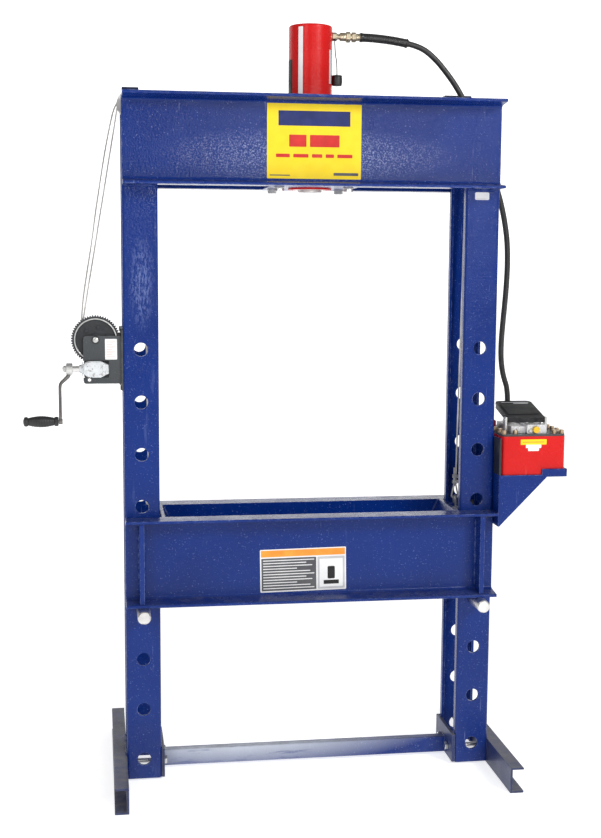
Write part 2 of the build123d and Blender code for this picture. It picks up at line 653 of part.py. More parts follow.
def rope_drop(side, edge):
    """The vertical run from a sheave's inner edge to the bed, which shortens as the bed rises."""
    x, y, z = edge
    start = (x, y, z - DROP_GAP)
    end = (side * (LUG_X + EYE_LEG_X), LUG_Y, ROPE_DROP_Z0 + DROP_GAP)
    return round_section(Line(start, end), ROPE_D / 2)


def round_section(path, radius):
    return sweep(Plane(origin=path @ 0, z_dir=path % 0) * Circle(radius), path)


def wrap(start, middle, end, radius):
    return round_section(ThreePointArc(start, middle, end), radius)


def rope_ends():
    """Shackle, rope eye and clips that hang each side of the bed on its rope."""
    half = SHACKLE_D / 2 + LUG_T / 2 + 1.5
    bow_z = LUG_HOLE_Z + 26
    pin = rod_y(LUG_X, LUG_Y - half - 8, LUG_Y + half + 8, LUG_HOLE_Z, SHACKLE_PIN_D)
    pin += hexagon((LUG_X, LUG_Y - half - 12, LUG_HOLE_Z), (LUG_X, LUG_Y - half - 7, LUG_HOLE_Z), 16)
    legs = [rod_z(LUG_X, LUG_Y + side * half, LUG_HOLE_Z, bow_z, SHACKLE_D) for side in (-1, 1)]
    bow = wrap((LUG_X, LUG_Y - half, bow_z), (LUG_X, LUG_Y, bow_z + half), (LUG_X, LUG_Y + half, bow_z),
               SHACKLE_D / 2)
    shackle = pin + legs[0] + legs[1] + bow
    eye_z = bow_z + half - SHACKLE_D / 2 - ROPE_D / 2 - 0.3 + EYE_R
    eye = wrap((LUG_X - EYE_R, LUG_Y, eye_z), (LUG_X, LUG_Y, eye_z - EYE_R), (LUG_X + EYE_R, LUG_Y, eye_z),
               ROPE_D / 2)
    for side, top in ((-1, ROPE_DROP_Z0 + 14), (1, ROPE_DROP_Z0)):
        x = LUG_X + side * EYE_LEG_X
        eye += rod((LUG_X + side * EYE_R, LUG_Y, eye_z), (x, LUG_Y, CLIP_Z0), ROPE_D)
        eye += rod_z(x, LUG_Y, CLIP_Z0, top, ROPE_D)
        eye += Pos(x, LUG_Y, CLIP_Z0) * Sphere(ROPE_D / 2)
    save("rope_eyes", [eye, mirror_x(eye)])
    clips = [block(LUG_X - 8, LUG_X + 8, LUG_Y - 6, LUG_Y + 6, z, z + 10) - eye
             for z in (CLIP_Z0 + 3, CLIP_Z0 + 20)]
    fittings = [shackle] + clips
    save("rope_end_fittings", fittings + [mirror_x(fitting) for fitting in fittings])


# ---------------------------------------------------------------- winch
def winch_bolt_heights():
    return (SIDE_PLATE_Z0 - WINCH_BOLT_OFFSET, SIDE_PLATE_Z1 + WINCH_BOLT_OFFSET)


def winch_frame():
    """A base plate on the upright and two side plates that carry the drum's axle."""
    x1 = -POST_OUTER_X
    base = block(x1 - BASE_T, x1, -BASE_HALF_Y, BASE_HALF_Y,
                 SIDE_PLATE_Z0 - BASE_REACH, SIDE_PLATE_Z1 + BASE_REACH)
    plates = fillet(base.edges().filter_by(Axis.X), 8)
    for side in (-1, 1):
        plate = block(SIDE_PLATE_X0, x1 - BASE_T + 0.1, side * SIDE_PLATE_Y,
                      side * (SIDE_PLATE_Y - SIDE_PLATE_T), SIDE_PLATE_Z0, SIDE_PLATE_Z1)
        free_edges = plate.edges().filter_by(Axis.Y).group_by(Axis.X)[0]
        plates += fillet(free_edges, 9)
    outside = BASE_HALF_Y + 6
    plates -= rod_y(WINCH_X, -outside, outside, WINCH_Z, DRUM_AXLE_D)
    plates -= rod_y(SIDE_HOLE_X, -outside, outside, SIDE_HOLE_Z, SIDE_HOLE_D)
    plates -= block(WORM_BOX_X0 - 4, WORM_BOX_X1 + 2, -SIDE_PLATE_Y - 2, -SIDE_PLATE_Y + SIDE_PLATE_T + 4,
                    WORM_Z - WORM_BOX_DOWN - 1, WORM_Z + WORM_BOX_UP + 1)
    for z in winch_bolt_heights():
        for side in (-1, 1):
            plates -= rod_x(x1 - 20, x1 + 1, side * SIDE_BOLT_Y, z, SIDE_BOLT_D + 1)
    save("winch_frame", plates)


def side_bolts():
    """The bolts that hold the winch on the left upright and the pump bracket on the right one."""
    places = [(-1, z, WINCH_BOLT_HEAD) for z in winch_bolt_heights()]
    places += [(1, z, BRACKET_BOLT_HEAD) for z in bracket_bolt_heights()]
    save("side_bolts", [side_bolt(direction, side * SIDE_BOLT_Y, z, head)
                        for direction, z, head in places for side in (-1, 1)])


def side_bolt(direction, y, z, head_height):
    """A hexagon bolt through an upright's flange, its head on the outer face."""
    x_face = direction * (POST_OUTER_X + SIDE_BOLT_GRIP)
    under = x_face - direction * (SIDE_BOLT_GRIP + POST_WALL)
    head = hexagon((x_face, y, z), (x_face + direction * head_height, y, z), 14)
    shank = rod_x(x_face + direction * 0.1, under - direction * 11, y, z, SIDE_BOLT_D)
    nut = hexagon((under, y, z), (under - direction * 8, y, z), 14)
    return head + shank + nut


def winch():
    winch_frame()
    side_bolts()
    axle = rod_y(WINCH_X, -SIDE_PLATE_Y - 5, SIDE_PLATE_Y + 5, WINCH_Z, DRUM_AXLE_D)
    save("drum_axle", axle)
    housing = worm_housing()
    save("worm_housing", housing)
    save("worm_wheel", worm_wheel())
    drum = rod_y(WINCH_X, DRUM_Y0, DRUM_Y1, WINCH_Z, 2 * DRUM_R)
    drum += rod_y(WINCH_X, DRUM_Y0, DRUM_Y0 + DRUM_FLANGE_T, WINCH_Z, 2 * DRUM_FLANGE_R)
    drum += rod_y(WINCH_X, DRUM_Y1 - DRUM_FLANGE_T, DRUM_Y1, WINCH_Z, 2 * DRUM_FLANGE_R)
    drum -= rod_y(WINCH_X, DRUM_Y0 - 1, DRUM_Y1 + 1, WINCH_Z, DRUM_AXLE_D + 2 * RUN_GAP)
    save("rope_drum", drum)
    save("rope_coils", rope_coils())


def worm_housing():
    """A cast eight-sided box round the worm, open at the top for the wheel."""
    x0, x1 = WORM_BOX_X0, WORM_BOX_X1
    z0, z1 = WORM_Z - WORM_BOX_DOWN, WORM_Z + WORM_BOX_UP
    left, right, drop = 14.0, 22.0, 11.0
    outline = [(x0 + left, z0), (x1 - right, z0), (x1, z0 + drop), (x1, z1 - drop),
               (x1 - right, z1), (x0 + left, z1), (x0, z1 - drop), (x0, z0 + drop)]
    body = prism_y(outline, WORM_BOX_Y0, DRUM_Y0 + 2)
    wheel_room = WHEEL_W / 2 + 1.5
    body -= rod_y(WINCH_X, WHEEL_Y - wheel_room, WHEEL_Y + wheel_room, WINCH_Z, 2 * WHEEL_R + 3)
    body -= rod_x(x0 - 1, x1 + 1, WHEEL_Y, WORM_Z, WORM_SHAFT_D + 2 * RUN_GAP)
    room = WORM_HALF_LENGTH + 1
    return body - rod_x(WINCH_X - room, WINCH_X + room, WHEEL_Y, WORM_Z, WORM_D + 1)


def worm_wheel():
    """A toothed wheel with a recessed face, fixed to the drum's front flange."""
    y0, y1 = WHEEL_Y - WHEEL_W / 2, WHEEL_Y + WHEEL_W / 2
    root = WHEEL_R - TOOTH_DEPTH
    pitch = 2 * pi / WHEEL_TEETH
    points = []
    for tooth in range(WHEEL_TEETH):
        middle = tooth * pitch
        for share, radius in ((-0.36, root), (-0.17, WHEEL_R), (0.17, WHEEL_R), (0.36, root)):
            angle = middle + share * pitch
            points.append((WINCH_X + radius * sin(angle), WINCH_Z + radius * cos(angle)))
    wheel = prism_y(points, y0, y1)
    recess = rod_y(WINCH_X, y0 - 1, y0 + 5, WINCH_Z, 2 * (root - WHEEL_RIM))
    wheel -= recess - rod_y(WINCH_X, y0 - 2, y0 + 6, WINCH_Z, 2 * WHEEL_HUB_R)
    wheel += rod_y(WINCH_X, y1 - 0.1, DRUM_Y0, WINCH_Z, 40)
    return wheel - rod_y(WINCH_X, y0 - 1, y1 + 20, WINCH_Z, DRUM_AXLE_D + 2 * RUN_GAP)


def rope_coils():
    """The turns of both ropes on the drum, as one band one rope thick."""
    first = DRUM_Y0 + DRUM_FLANGE_T + 1.5
    last = first + (COIL_TURNS - 1) * COIL_PITCH + ROPE_D
    band = rod_y(WINCH_X, first, last, WINCH_Z, 2 * (DRUM_R + ROPE_D))
    return band - rod_y(WINCH_X, DRUM_Y0, DRUM_Y1, WINCH_Z, 2 * DRUM_R)


def crank():
    shaft_end, stub_end, stub_d = -712.0, -725.0, 10.0
    worm = rod_x(WORM_BOX_X1 + 4, shaft_end, WHEEL_Y, WORM_Z, WORM_SHAFT_D)
    worm += rod_x(WINCH_X - WORM_HALF_LENGTH, WINCH_X + WORM_HALF_LENGTH, WHEEL_Y, WORM_Z, WORM_D)
    worm += rod_x(shaft_end, stub_end, WHEEL_Y, WORM_Z, stub_d)
    save("worm_shaft", worm)
    hub = rod_x(CRANK_HUB_X - 9, CRANK_HUB_X + 9, WHEEL_Y, WORM_Z, CRANK_HUB_D)
    elbow = (CRANK_ARM_X, WHEEL_Y, WORM_Z - CRANK_ELBOW)
    grip_z = WORM_Z - CRANK_R
    arm = rod((CRANK_HUB_X, WHEEL_Y, WORM_Z - 13), elbow, CRANK_ROD_D)
    arm += rod(elbow, (CRANK_ARM_X, WHEEL_Y, grip_z - 8), CRANK_ROD_D)
    arm += Pos(*elbow) * Sphere(CRANK_ROD_D / 2)
    grip_end = CRANK_ARM_X - GRIP_GAP - GRIP_LENGTH
    arm += rod_x(CRANK_ARM_X, grip_end - GRIP_CAP, WHEEL_Y, grip_z, SPINDLE_D)
    arm += rod_x(grip_end - GRIP_CAP, grip_end - 0.5, WHEEL_Y, grip_z, 16)
    nut = hexagon((shaft_end - 1, WHEEL_Y, WORM_Z), (shaft_end - 10, WHEEL_Y, WORM_Z), 17)
    save("crank_arm", hub + arm + nut - worm)
    save("crank_grip", grip(grip_end, grip_z))


def grip(x_end, z):
    """A barrel grip, thick in the middle, with a bead at each end."""
    x0, x1 = x_end, x_end + GRIP_LENGTH - 0.5
    mid = (x0 + x1) / 2
    r = GRIP_D / 2
    outline = [(x0, 0, SPINDLE_D / 2 + RUN_GAP), (x0, 0, r - 3), (x0 + 12, 0, r - 3), (x0 + 16, 0, r - 6)]
    right = [(x1 - 16, 0, r - 6), (x1 - 12, 0, r - 3), (x1, 0, r - 3), (x1, 0, SPINDLE_D / 2 + RUN_GAP)]
    lower = Polyline(*outline)
    belly = ThreePointArc(outline[-1], (mid, 0, r), right[0])
    upper = Polyline(*right)
    closing = Line(right[-1], outline[0])
    section = Pos(0, WHEEL_Y, z) * make_face([lower, belly, upper, closing])
    return revolve(section, Axis((x0, WHEEL_Y, z), (1, 0, 0)), 360)


# ---------------------------------------------------------------- pump and bracket
def bracket_bolt_heights():
    return (TANK_Z0 - 122, TANK_Z0 - 34)


def pump_bracket():
    """A tray on two triangular gussets and a back plate bolted to the right upright."""
    x0, z1 = POST_OUTER_X, TANK_Z0
    y0, y1 = TANK_Y0 - 6, TANK_Y1 + 10
    back = block(x0, x0 + BASE_T, y0, y1, z1 - GUSSET_DROP - TRAY_T, BACK_PLATE_Z1)
    tray = block(x0, TANK_X1 + 4, y0, y1, z1 - TRAY_T, z1)
    lip_x = TANK_X1 + 4 - 77
    front_lip = block(lip_x, TANK_X1 + 4, y0, y0 + 4, z1 - TRAY_T, z1 + TRAY_LIP - TRAY_T)
    side_lip = block(TANK_X1 + 0.2, TANK_X1 + 4, y0, y1, z1 - TRAY_T, z1 + TRAY_LIP - TRAY_T)
    rear_lip = block(lip_x, TANK_X1 + 4, y1 - 4, y1, z1 - TRAY_T, z1 + TRAY_LIP - TRAY_T)
    top, drop = z1 - TRAY_T + 0.1, GUSSET_DROP
    triangle = [(x0 + 0.1, top), (x0 + GUSSET_REACH, top), (x0 + 4, top - drop), (x0 + 0.1, top - drop)]
    body = back + tray + front_lip + side_lip + rear_lip
    body += prism_y(triangle, y0, y0 + 5)
    body += prism_y(triangle, y1 - 5, y1)
    for z in bracket_bolt_heights():
        for side in (-1, 1):
            body -= rod_x(x0 - 1, x0 + 20, side * SIDE_BOLT_Y, z, SIDE_BOLT_D + 1)
    save("pump_bracket", body)


def pump():
    pump_bracket()
    tank = block(TANK_X0, TANK_X1, TANK_Y0, TANK_Y1, TANK_Z0, TANK_Z1)
    tank = round_upright_edges(tank, TANK_CORNER)
    inner = block(TANK_X0 + TANK_WALL, TANK_X1 - TANK_WALL, TANK_Y0 + TANK_WALL, TANK_Y1 - TANK_WALL,
                  TANK_Z0 + TANK_WALL, TANK_Z1 + 1)
    save("pump_tank", tank - round_upright_edges(inner, TANK_CORNER - TANK_WALL))
    top = TANK_Z1 + TOP_PLATE_T
    lid = block(TANK_X0 + 1, TANK_X1 - 1, TANK_Y0 + 1, TANK_Y1 - 1, TANK_Z1, top)
    save("pump_top_plate", round_upright_edges(lid, TANK_CORNER - 1))
    save("pump_cover_screws", [cover_screw(x, y, top) for x, y in cover_screw_places()])
    block_a = block(642, 702, -135, -64, top, top + 27)
    block_a = fillet(block_a.edges().filter_by(Axis.Y), 3)
    block_b = block(598, 642, -118, 30, top, top + 20)
    block_c = block(OUTLET_X - 11, OUTLET_X + 11, 29.9, OUTLET_Y + 11, top, top + 24)
    save("pump_manifold", block_a + block_b + block_c)
    motor = rod_y(676, -62, 86, top + 18, 36)
    motor -= rod_y(676, 73, 87, top + 18, 11.4)
    save("air_motor", motor)
    save("filler_cap", rod_z(580, 4, top, top + 8, 10) + rod_z(580, 4, top + 8, top + 26, 14))
    knob = rod_y(667, -150, -137, top + 13, 21)
    knob = chamfer(knob.edges().filter_by(GeomType.CIRCLE).sort_by(Axis.Y)[0], 2)
    save("relief_valve_knob", knob + rod_y(667, -137.5, -135.2, top + 13, 9))
    riser = rod_z(OUTLET_X, OUTLET_Y, top + 24, 1100, 20)
    save("pump_outlet_fitting", riser + hexagon((OUTLET_X, OUTLET_Y, 1066), (OUTLET_X, OUTLET_Y, 1080), 25))
    treadle()


def cover_screw_places():
    """A row along each side of the tank's cover, and two more at its front."""
    step = (TANK_Y1 - TANK_Y0 - 2 * SCREW_INSET_Y) / (SCREW_ROWS - 1)
    rows = [TANK_Y0 + SCREW_INSET_Y + row * step for row in range(SCREW_ROWS)]
    sides = [(x, y) for x in (TANK_X0 + SCREW_INSET_X, TANK_X1 - SCREW_INSET_X) for y in rows]
    return sides + [(x, rows[0]) for x in FRONT_SCREWS_X]


def cover_screw(x, y, z):
    return rod_z(x, y, z, z + 3, 16) + hexagon((x, y, z + 3), (x, y, z + 12), 13)


def treadle():
    """A foot treadle hinged at its low front end, between two ears on the manifold."""
    y, z = TREADLE_HINGE_Y, TREADLE_HINGE_Z
    top = TANK_Z1 + TOP_PLATE_T
    ears = [block(x0, x0 + 6, y - 9, y + 9, top, z + 8) for x0 in (TREADLE_X0 - 8, TREADLE_X1 + 2)]
    ears = [ear - rod_x(560, 740, y, z, 8) for ear in ears]
    save("treadle_hinge", ears + [rod_x(TREADLE_X0 - 10, TREADLE_X1 + 10, y, z, 8)])
    local = block(TREADLE_X0, TREADLE_X1, 0, TREADLE_LENGTH, 4, 10)
    local = fillet(local.edges().filter_by(Axis.Z).group_by(Axis.Y)[-1], 16)
    local += block(TREADLE_X0, TREADLE_X0 + 4, -7, TREADLE_LENGTH - 18, -7, 4.1)
    local += block(TREADLE_X1 - 4, TREADLE_X1, -7, TREADLE_LENGTH - 18, -7, 4.1)
    local += block(TREADLE_X0, TREADLE_X1, -7, 0.1, -7, 10)
    local = local - rod_x(TREADLE_X0 - 1, TREADLE_X1 + 1, 0, 0, 8 + 2 * RUN_GAP)
    ribs = [block(TREADLE_X0 + 10, TREADLE_X1 - 10, rib, rib + 5, 9.9, 12) for rib in (88, 100, 112)]
    for rib in ribs:
        local += rib
    tilted = Pos(0, y, z) * (Rot(TREADLE_SLOPE, 0, 0) * local)
    save("treadle", tilted)


def main():
    os.makedirs("parts", exist_ok=True)
    posts()
    head_beam()
    bed()
    pins()
    feet()
    brace()
    cylinder()
    mounting_plates()
    ram()
    hydraulic_line()
    sheaves()
    ropes()
    rope_ends()
    winch()
    crank()
    pump()


main()
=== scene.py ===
import json
from math import atan2, cos, hypot, pi, radians, sin

import bmesh
import bpy
from mathutils import Matrix, Vector, noise


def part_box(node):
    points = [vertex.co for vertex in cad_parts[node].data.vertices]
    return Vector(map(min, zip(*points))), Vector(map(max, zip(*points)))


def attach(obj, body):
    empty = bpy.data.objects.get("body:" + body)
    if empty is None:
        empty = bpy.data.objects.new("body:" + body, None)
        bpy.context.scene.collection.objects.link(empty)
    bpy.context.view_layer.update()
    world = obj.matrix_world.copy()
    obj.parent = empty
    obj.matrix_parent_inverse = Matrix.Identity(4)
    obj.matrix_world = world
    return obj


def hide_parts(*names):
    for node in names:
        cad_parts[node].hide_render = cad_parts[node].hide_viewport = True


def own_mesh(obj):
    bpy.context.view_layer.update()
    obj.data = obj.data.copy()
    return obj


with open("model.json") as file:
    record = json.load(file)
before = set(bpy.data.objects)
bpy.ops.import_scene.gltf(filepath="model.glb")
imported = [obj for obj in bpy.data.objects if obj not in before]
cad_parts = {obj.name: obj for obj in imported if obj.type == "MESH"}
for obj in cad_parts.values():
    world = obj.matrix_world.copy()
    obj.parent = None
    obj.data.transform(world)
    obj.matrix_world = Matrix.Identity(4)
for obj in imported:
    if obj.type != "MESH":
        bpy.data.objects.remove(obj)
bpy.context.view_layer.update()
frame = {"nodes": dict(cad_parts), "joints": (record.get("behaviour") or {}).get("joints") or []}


# ---------------------------------------------------------------- places read from the frame
def low(node, axis):
    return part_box(node)[0][axis]


def high(node, axis):
    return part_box(node)[1][axis]


def middle(node):
    lowest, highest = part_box(node)
    return Vector([(a + b) / 2 for a, b in zip(lowest, highest)])


def size(node, axis):
    return high(node, axis) - low(node, axis)


def joint(name):
    return [j for j in frame["joints"] if j["name"] == name][0]


UP, DOWN = (0, 0, 1), (0, 0, -1)
FRONT, REAR = (0, -1, 0), (0, 1, 0)
LEFT, RIGHT = (-1, 0, 0), (1, 0, 0)
WEB = 0.008  # thickness of the channels' webs
RAM_X = middle("cylinder_barrel").x
POST_FACE_Y = high("left_post", 1)
POST_IN_R = low("right_post", 0)
POST_OUT_R = high("right_post", 0)
BEAM_Z0 = low("beam_front_channel", 2)
BEAM_Z1 = high("beam_front_channel", 2)
BEAM_FACE_Y = -POST_FACE_Y - WEB
BED_Z0 = low("bed_front_channel", 2)
BED_Z1 = high("bed_front_channel", 2)
BED_FACE_Y = -high("bed_end_ties", 1) - WEB


def at(x, y, z):
    """A point given from the ram's axis and the floor."""
    return Vector((RAM_X + x, y, z))


# ---------------------------------------------------------------- camera
CAMERA_PLACE = at(-0.6248, -3.9523, 1.5532)
CAMERA_YAW = radians(8.66)
CAMERA_PITCH = radians(-6.93)
CAMERA_ROLL = radians(0.347)
SENSOR = 36.0
LENS = 80.15


def make_camera():
    data = bpy.data.cameras.new("camera")
    data.sensor_fit = "HORIZONTAL"
    data.sensor_width = SENSOR
    data.lens = LENS
    data.clip_end = 60
    camera = bpy.data.objects.new("camera", data)
    bpy.context.scene.collection.objects.link(camera)
    turn = (Matrix.Rotation(-CAMERA_YAW, 4, "Z") @ Matrix.Rotation(pi / 2 + CAMERA_PITCH, 4, "X")
            @ Matrix.Rotation(CAMERA_ROLL, 4, "Z"))
    camera.matrix_world = Matrix.Translation(CAMERA_PLACE) @ turn
    bpy.context.scene.camera = camera


make_camera()


# ---------------------------------------------------------------- materials
class Paint:
    """A small hand for building one node material."""

    def __init__(self, name):
        self.mat = bpy.data.materials.new(name)
        self.mat.use_nodes = True
        self.tree = self.mat.node_tree
        self.shader = self.tree.nodes["Principled BSDF"]
        self.coords = self.tree.nodes.new("ShaderNodeTexCoord").outputs["Object"]

    def feed(self, socket, value):
        if isinstance(value, bpy.types.NodeSocket):
            self.tree.links.new(value, socket)
        elif isinstance(value, tuple) and len(value) == 3 and socket.type == "RGBA":
            socket.default_value = (*value, 1)
        else:
            socket.default_value = value

    def node(self, kind, out, inputs=None, **settings):
        """Add a node, set and wire it, and give one of its outputs."""
        made = self.tree.nodes.new("ShaderNode" + kind)
        for key, value in settings.items():
            setattr(made, key, value)
        for key, value in (inputs or {}).items():
            self.feed(made.inputs[key], value)
        return made.outputs[out]

    def stretch(self, x, y, z):
        return self.node("Mapping", "Vector", {"Vector": self.coords, "Scale": (x, y, z)})

    def noise(self, scale, detail=3.0, rough=0.5, vector=None):
        return self.node("TexNoise", "Fac", {"Vector": vector or self.coords, "Scale": scale,
                                             "Detail": detail, "Roughness": rough})

    def cells(self, scale):
        return self.node("TexVoronoi", "Distance", {"Vector": self.coords, "Scale": scale})

    def span(self, value, a, b, c=0.0, d=1.0):
        """Map a value from the range a to b onto the range c to d."""
        return self.node("MapRange", "Result", {"Value": value, "From Min": a, "From Max": b,
                                                "To Min": c, "To Max": d})

    def math(self, how, a, b):
        return self.node("Math", "Value", {0: a, 1: b}, operation=how)

    def mix(self, share, a, b):
        return self.node("Mix", "Result", {"Factor": share, "A": a, "B": b}, data_type="RGBA")

    def vector(self, how, out, a, b=None):
        inputs = {0: a} if b is None else {0: a, 1: b}
        return self.node("VectorMath", out, inputs, operation=how)

    def upright(self, vector):
        """The Z share of a vector."""
        return self.node("SeparateXYZ", "Z", {0: vector})

    def edges(self, radius):
        """Near 1 within a radius of a sharp edge, else 0; also the rounded normal."""
        rounded = self.node("Bevel", "Normal", {"Radius": radius}, samples=4)
        normal = self.node("NewGeometry", "Normal")
        return self.span(self.vector("DOT_PRODUCT", "Value", rounded, normal), 0.99, 0.88), rounded

    def painted_highlight_patch(self, centre, reach, fine, most, grain, start=0.46):
        """A patch of pale flecks round a place, thinning out towards its rim: painted glints and
        glare.
        """
        away = self.vector("SUBTRACT", "Vector", self.coords, centre)
        far = self.vector("LENGTH", "Value", self.vector("DIVIDE", "Vector", away, reach))
        inside = self.span(far, 0.35, 1.0, most, 0.0)
        flecks = self.span(self.noise(fine, 5, 0.7, self.stretch(*grain)), start, start + 0.14)
        return self.math("MULTIPLY", inside, flecks)

    def bump(self, value, distance, strength, under=None):
        inputs = {"Height": value, "Distance": distance, "Strength": strength}
        if under is not None:
            inputs["Normal"] = under
        return self.node("Bump", "Normal", inputs)

    def finish(self, **sockets):
        for key, value in sockets.items():
            self.feed(self.shader.inputs[key.replace("_", " ")], value)
        return self.mat


def enamel(name, colour, shade, pale, gloss=0.18, coat=0.0, dusty=0.0, wear_and_edge_highlight=0.7, dimple=1.0,
           patch=None):
    """Sprayed gloss paint: shade and tone drift, orange peel, scuffs, pale edges that are partly
    rubbed paint and partly painted highlight, an optional patch of painted glare, and dust.
    """
    p = Paint(name)
    edge, rounded = p.edges(0.0034)
    patchy = p.span(p.noise(3.5, 4), 0.3, 0.7)
    tone = p.mix(patchy, shade, colour)
    streaks = p.noise(9, 5, 0.65, p.stretch(3.0, 3.0, 0.35))
    scuff = p.span(streaks, 0.66, 0.78, 0, 0.18)
    tone = p.mix(scuff, tone, pale)
    specks = p.span(p.noise(230, 2, 0.6), 0.66, 0.72, 0, 0.5 * wear_and_edge_highlight)
    tone = p.mix(specks, tone, pale)
    ticks = p.noise(70, 2, 0.5, p.stretch(1.0, 1.0, 0.1))
    tone = p.mix(p.span(ticks, 0.73, 0.78, 0, 0.28), tone, pale)
    # Painted highlight: pale flecks round a given place stand in for glints and glare on the paint.
    if patch is not None:
        tone = p.mix(p.painted_highlight_patch(*patch), tone, pale)
    # Pale on the sharp edges: partly rubbed paint, partly a painted edge highlight.
    broken = p.span(p.noise(55, 4), 0.42, 0.62)
    rub_and_edge_highlight = p.math("MULTIPLY", p.math("MULTIPLY", edge, broken), wear_and_edge_highlight)
    tone = p.mix(rub_and_edge_highlight, tone, pale)
    rough = p.span(p.noise(14, 4), 0.3, 0.7, gloss - 0.04, gloss + 0.07)
    if dusty:
        lying = p.span(p.upright(p.node("NewGeometry", "Normal")), 0.5, 0.95, 0, 0.8)
        low_down = p.span(p.upright(p.coords), 0.02, 0.30, 0.22, 0.0)
        blotch = p.span(p.noise(24, 5, 0.6), 0.35, 0.65, 0.25, 1)
        dust = p.math("MULTIPLY", p.math("MAXIMUM", lying, low_down), blotch)
        dust = p.math("MULTIPLY", dust, dusty)
        tone = p.mix(dust, tone, (0.17, 0.165, 0.17))
        rough = p.math("ADD", rough, p.math("MULTIPLY", dust, 0.4))
    peel = p.bump(p.noise(170, 2, 0.6), 0.0022, 0.5 * dimple, rounded)
    dents = p.bump(p.noise(38, 3, 0.6), 0.0016, 0.22 * dimple, peel)
    return p.finish(Base_Color=tone, Roughness=rough, Normal=dents, Coat_Weight=coat,
                    Coat_Roughness=0.12, Specular_IOR_Level=0.26)


def metal(name, colour, shade, rough=0.32, grain=(1.0, 1.0, 1.0), fine=220, stain=0.25,
          edge_radius=0.0012, metallic=1.0, spotted=0.0):
    """Bare or plated metal: directional grain, blotches and brighter edges."""
    p = Paint(name)
    edge, rounded = p.edges(edge_radius)
    lines = p.noise(fine, 4, 0.6, p.stretch(*grain))
    blotch = p.span(p.noise(18, 5, 0.6), 0.32, 0.68)
    tone = p.mix(blotch, shade, colour)
    tone = p.mix(p.span(lines, 0.35, 0.75, 0, 0.35), tone, shade)
    tone = p.mix(p.math("MULTIPLY", edge, 0.5), tone, tuple(min(1, c * 1.25) for c in colour))
    spots = p.span(p.noise(60 + 600 * spotted, 5, 0.7), 0.62 - spotted, 0.74 - spotted, 0, stain)
    tone = p.mix(spots, tone, (0.16, 0.13, 0.10))
    roughness = p.span(lines, 0.3, 0.7, rough - 0.08, rough + 0.12)
    bumped = p.bump(lines, 0.0002, 0.35, rounded)
    return p.finish(Base_Color=tone, Roughness=roughness, Normal=bumped, Metallic=metallic)


def moulded(name, colour, shade, rough=0.5, grainy=350, pattern=0.3):
    """Moulded plastic or rubber: fine pebble, slightly dusty in patches."""
    p = Paint(name)
    _, rounded = p.edges(0.001)
    tone = p.mix(p.span(p.noise(30, 4), 0.3, 0.7), shade, colour)
    dust = p.span(p.noise(11, 5, 0.6), 0.55, 0.8, 0, 0.22)
    tone = p.mix(dust, tone, (0.16, 0.16, 0.155))
    roughness = p.span(p.noise(40, 3), 0.3, 0.7, rough - 0.08, rough + 0.1)
    pebble = p.bump(p.cells(grainy), 0.0003, pattern, rounded)
    return p.finish(Base_Color=tone, Roughness=roughness, Normal=pebble)


def vinyl(name, colour, shade, rough=0.5):
    """A printed film: faint mottling, soft wrinkles and a little gloss."""
    p = Paint(name)
    tone = p.mix(p.span(p.noise(26, 4), 0.35, 0.7), shade, colour)
    roughness = p.span(p.noise(50, 3), 0.3, 0.7, rough - 0.08, rough + 0.12)
    wrinkle = p.bump(p.noise(16, 2, 0.4), 0.0012, 0.25)
    return p.finish(Base_Color=tone, Roughness=roughness, Normal=wrinkle, Specular_IOR_Level=0.3)


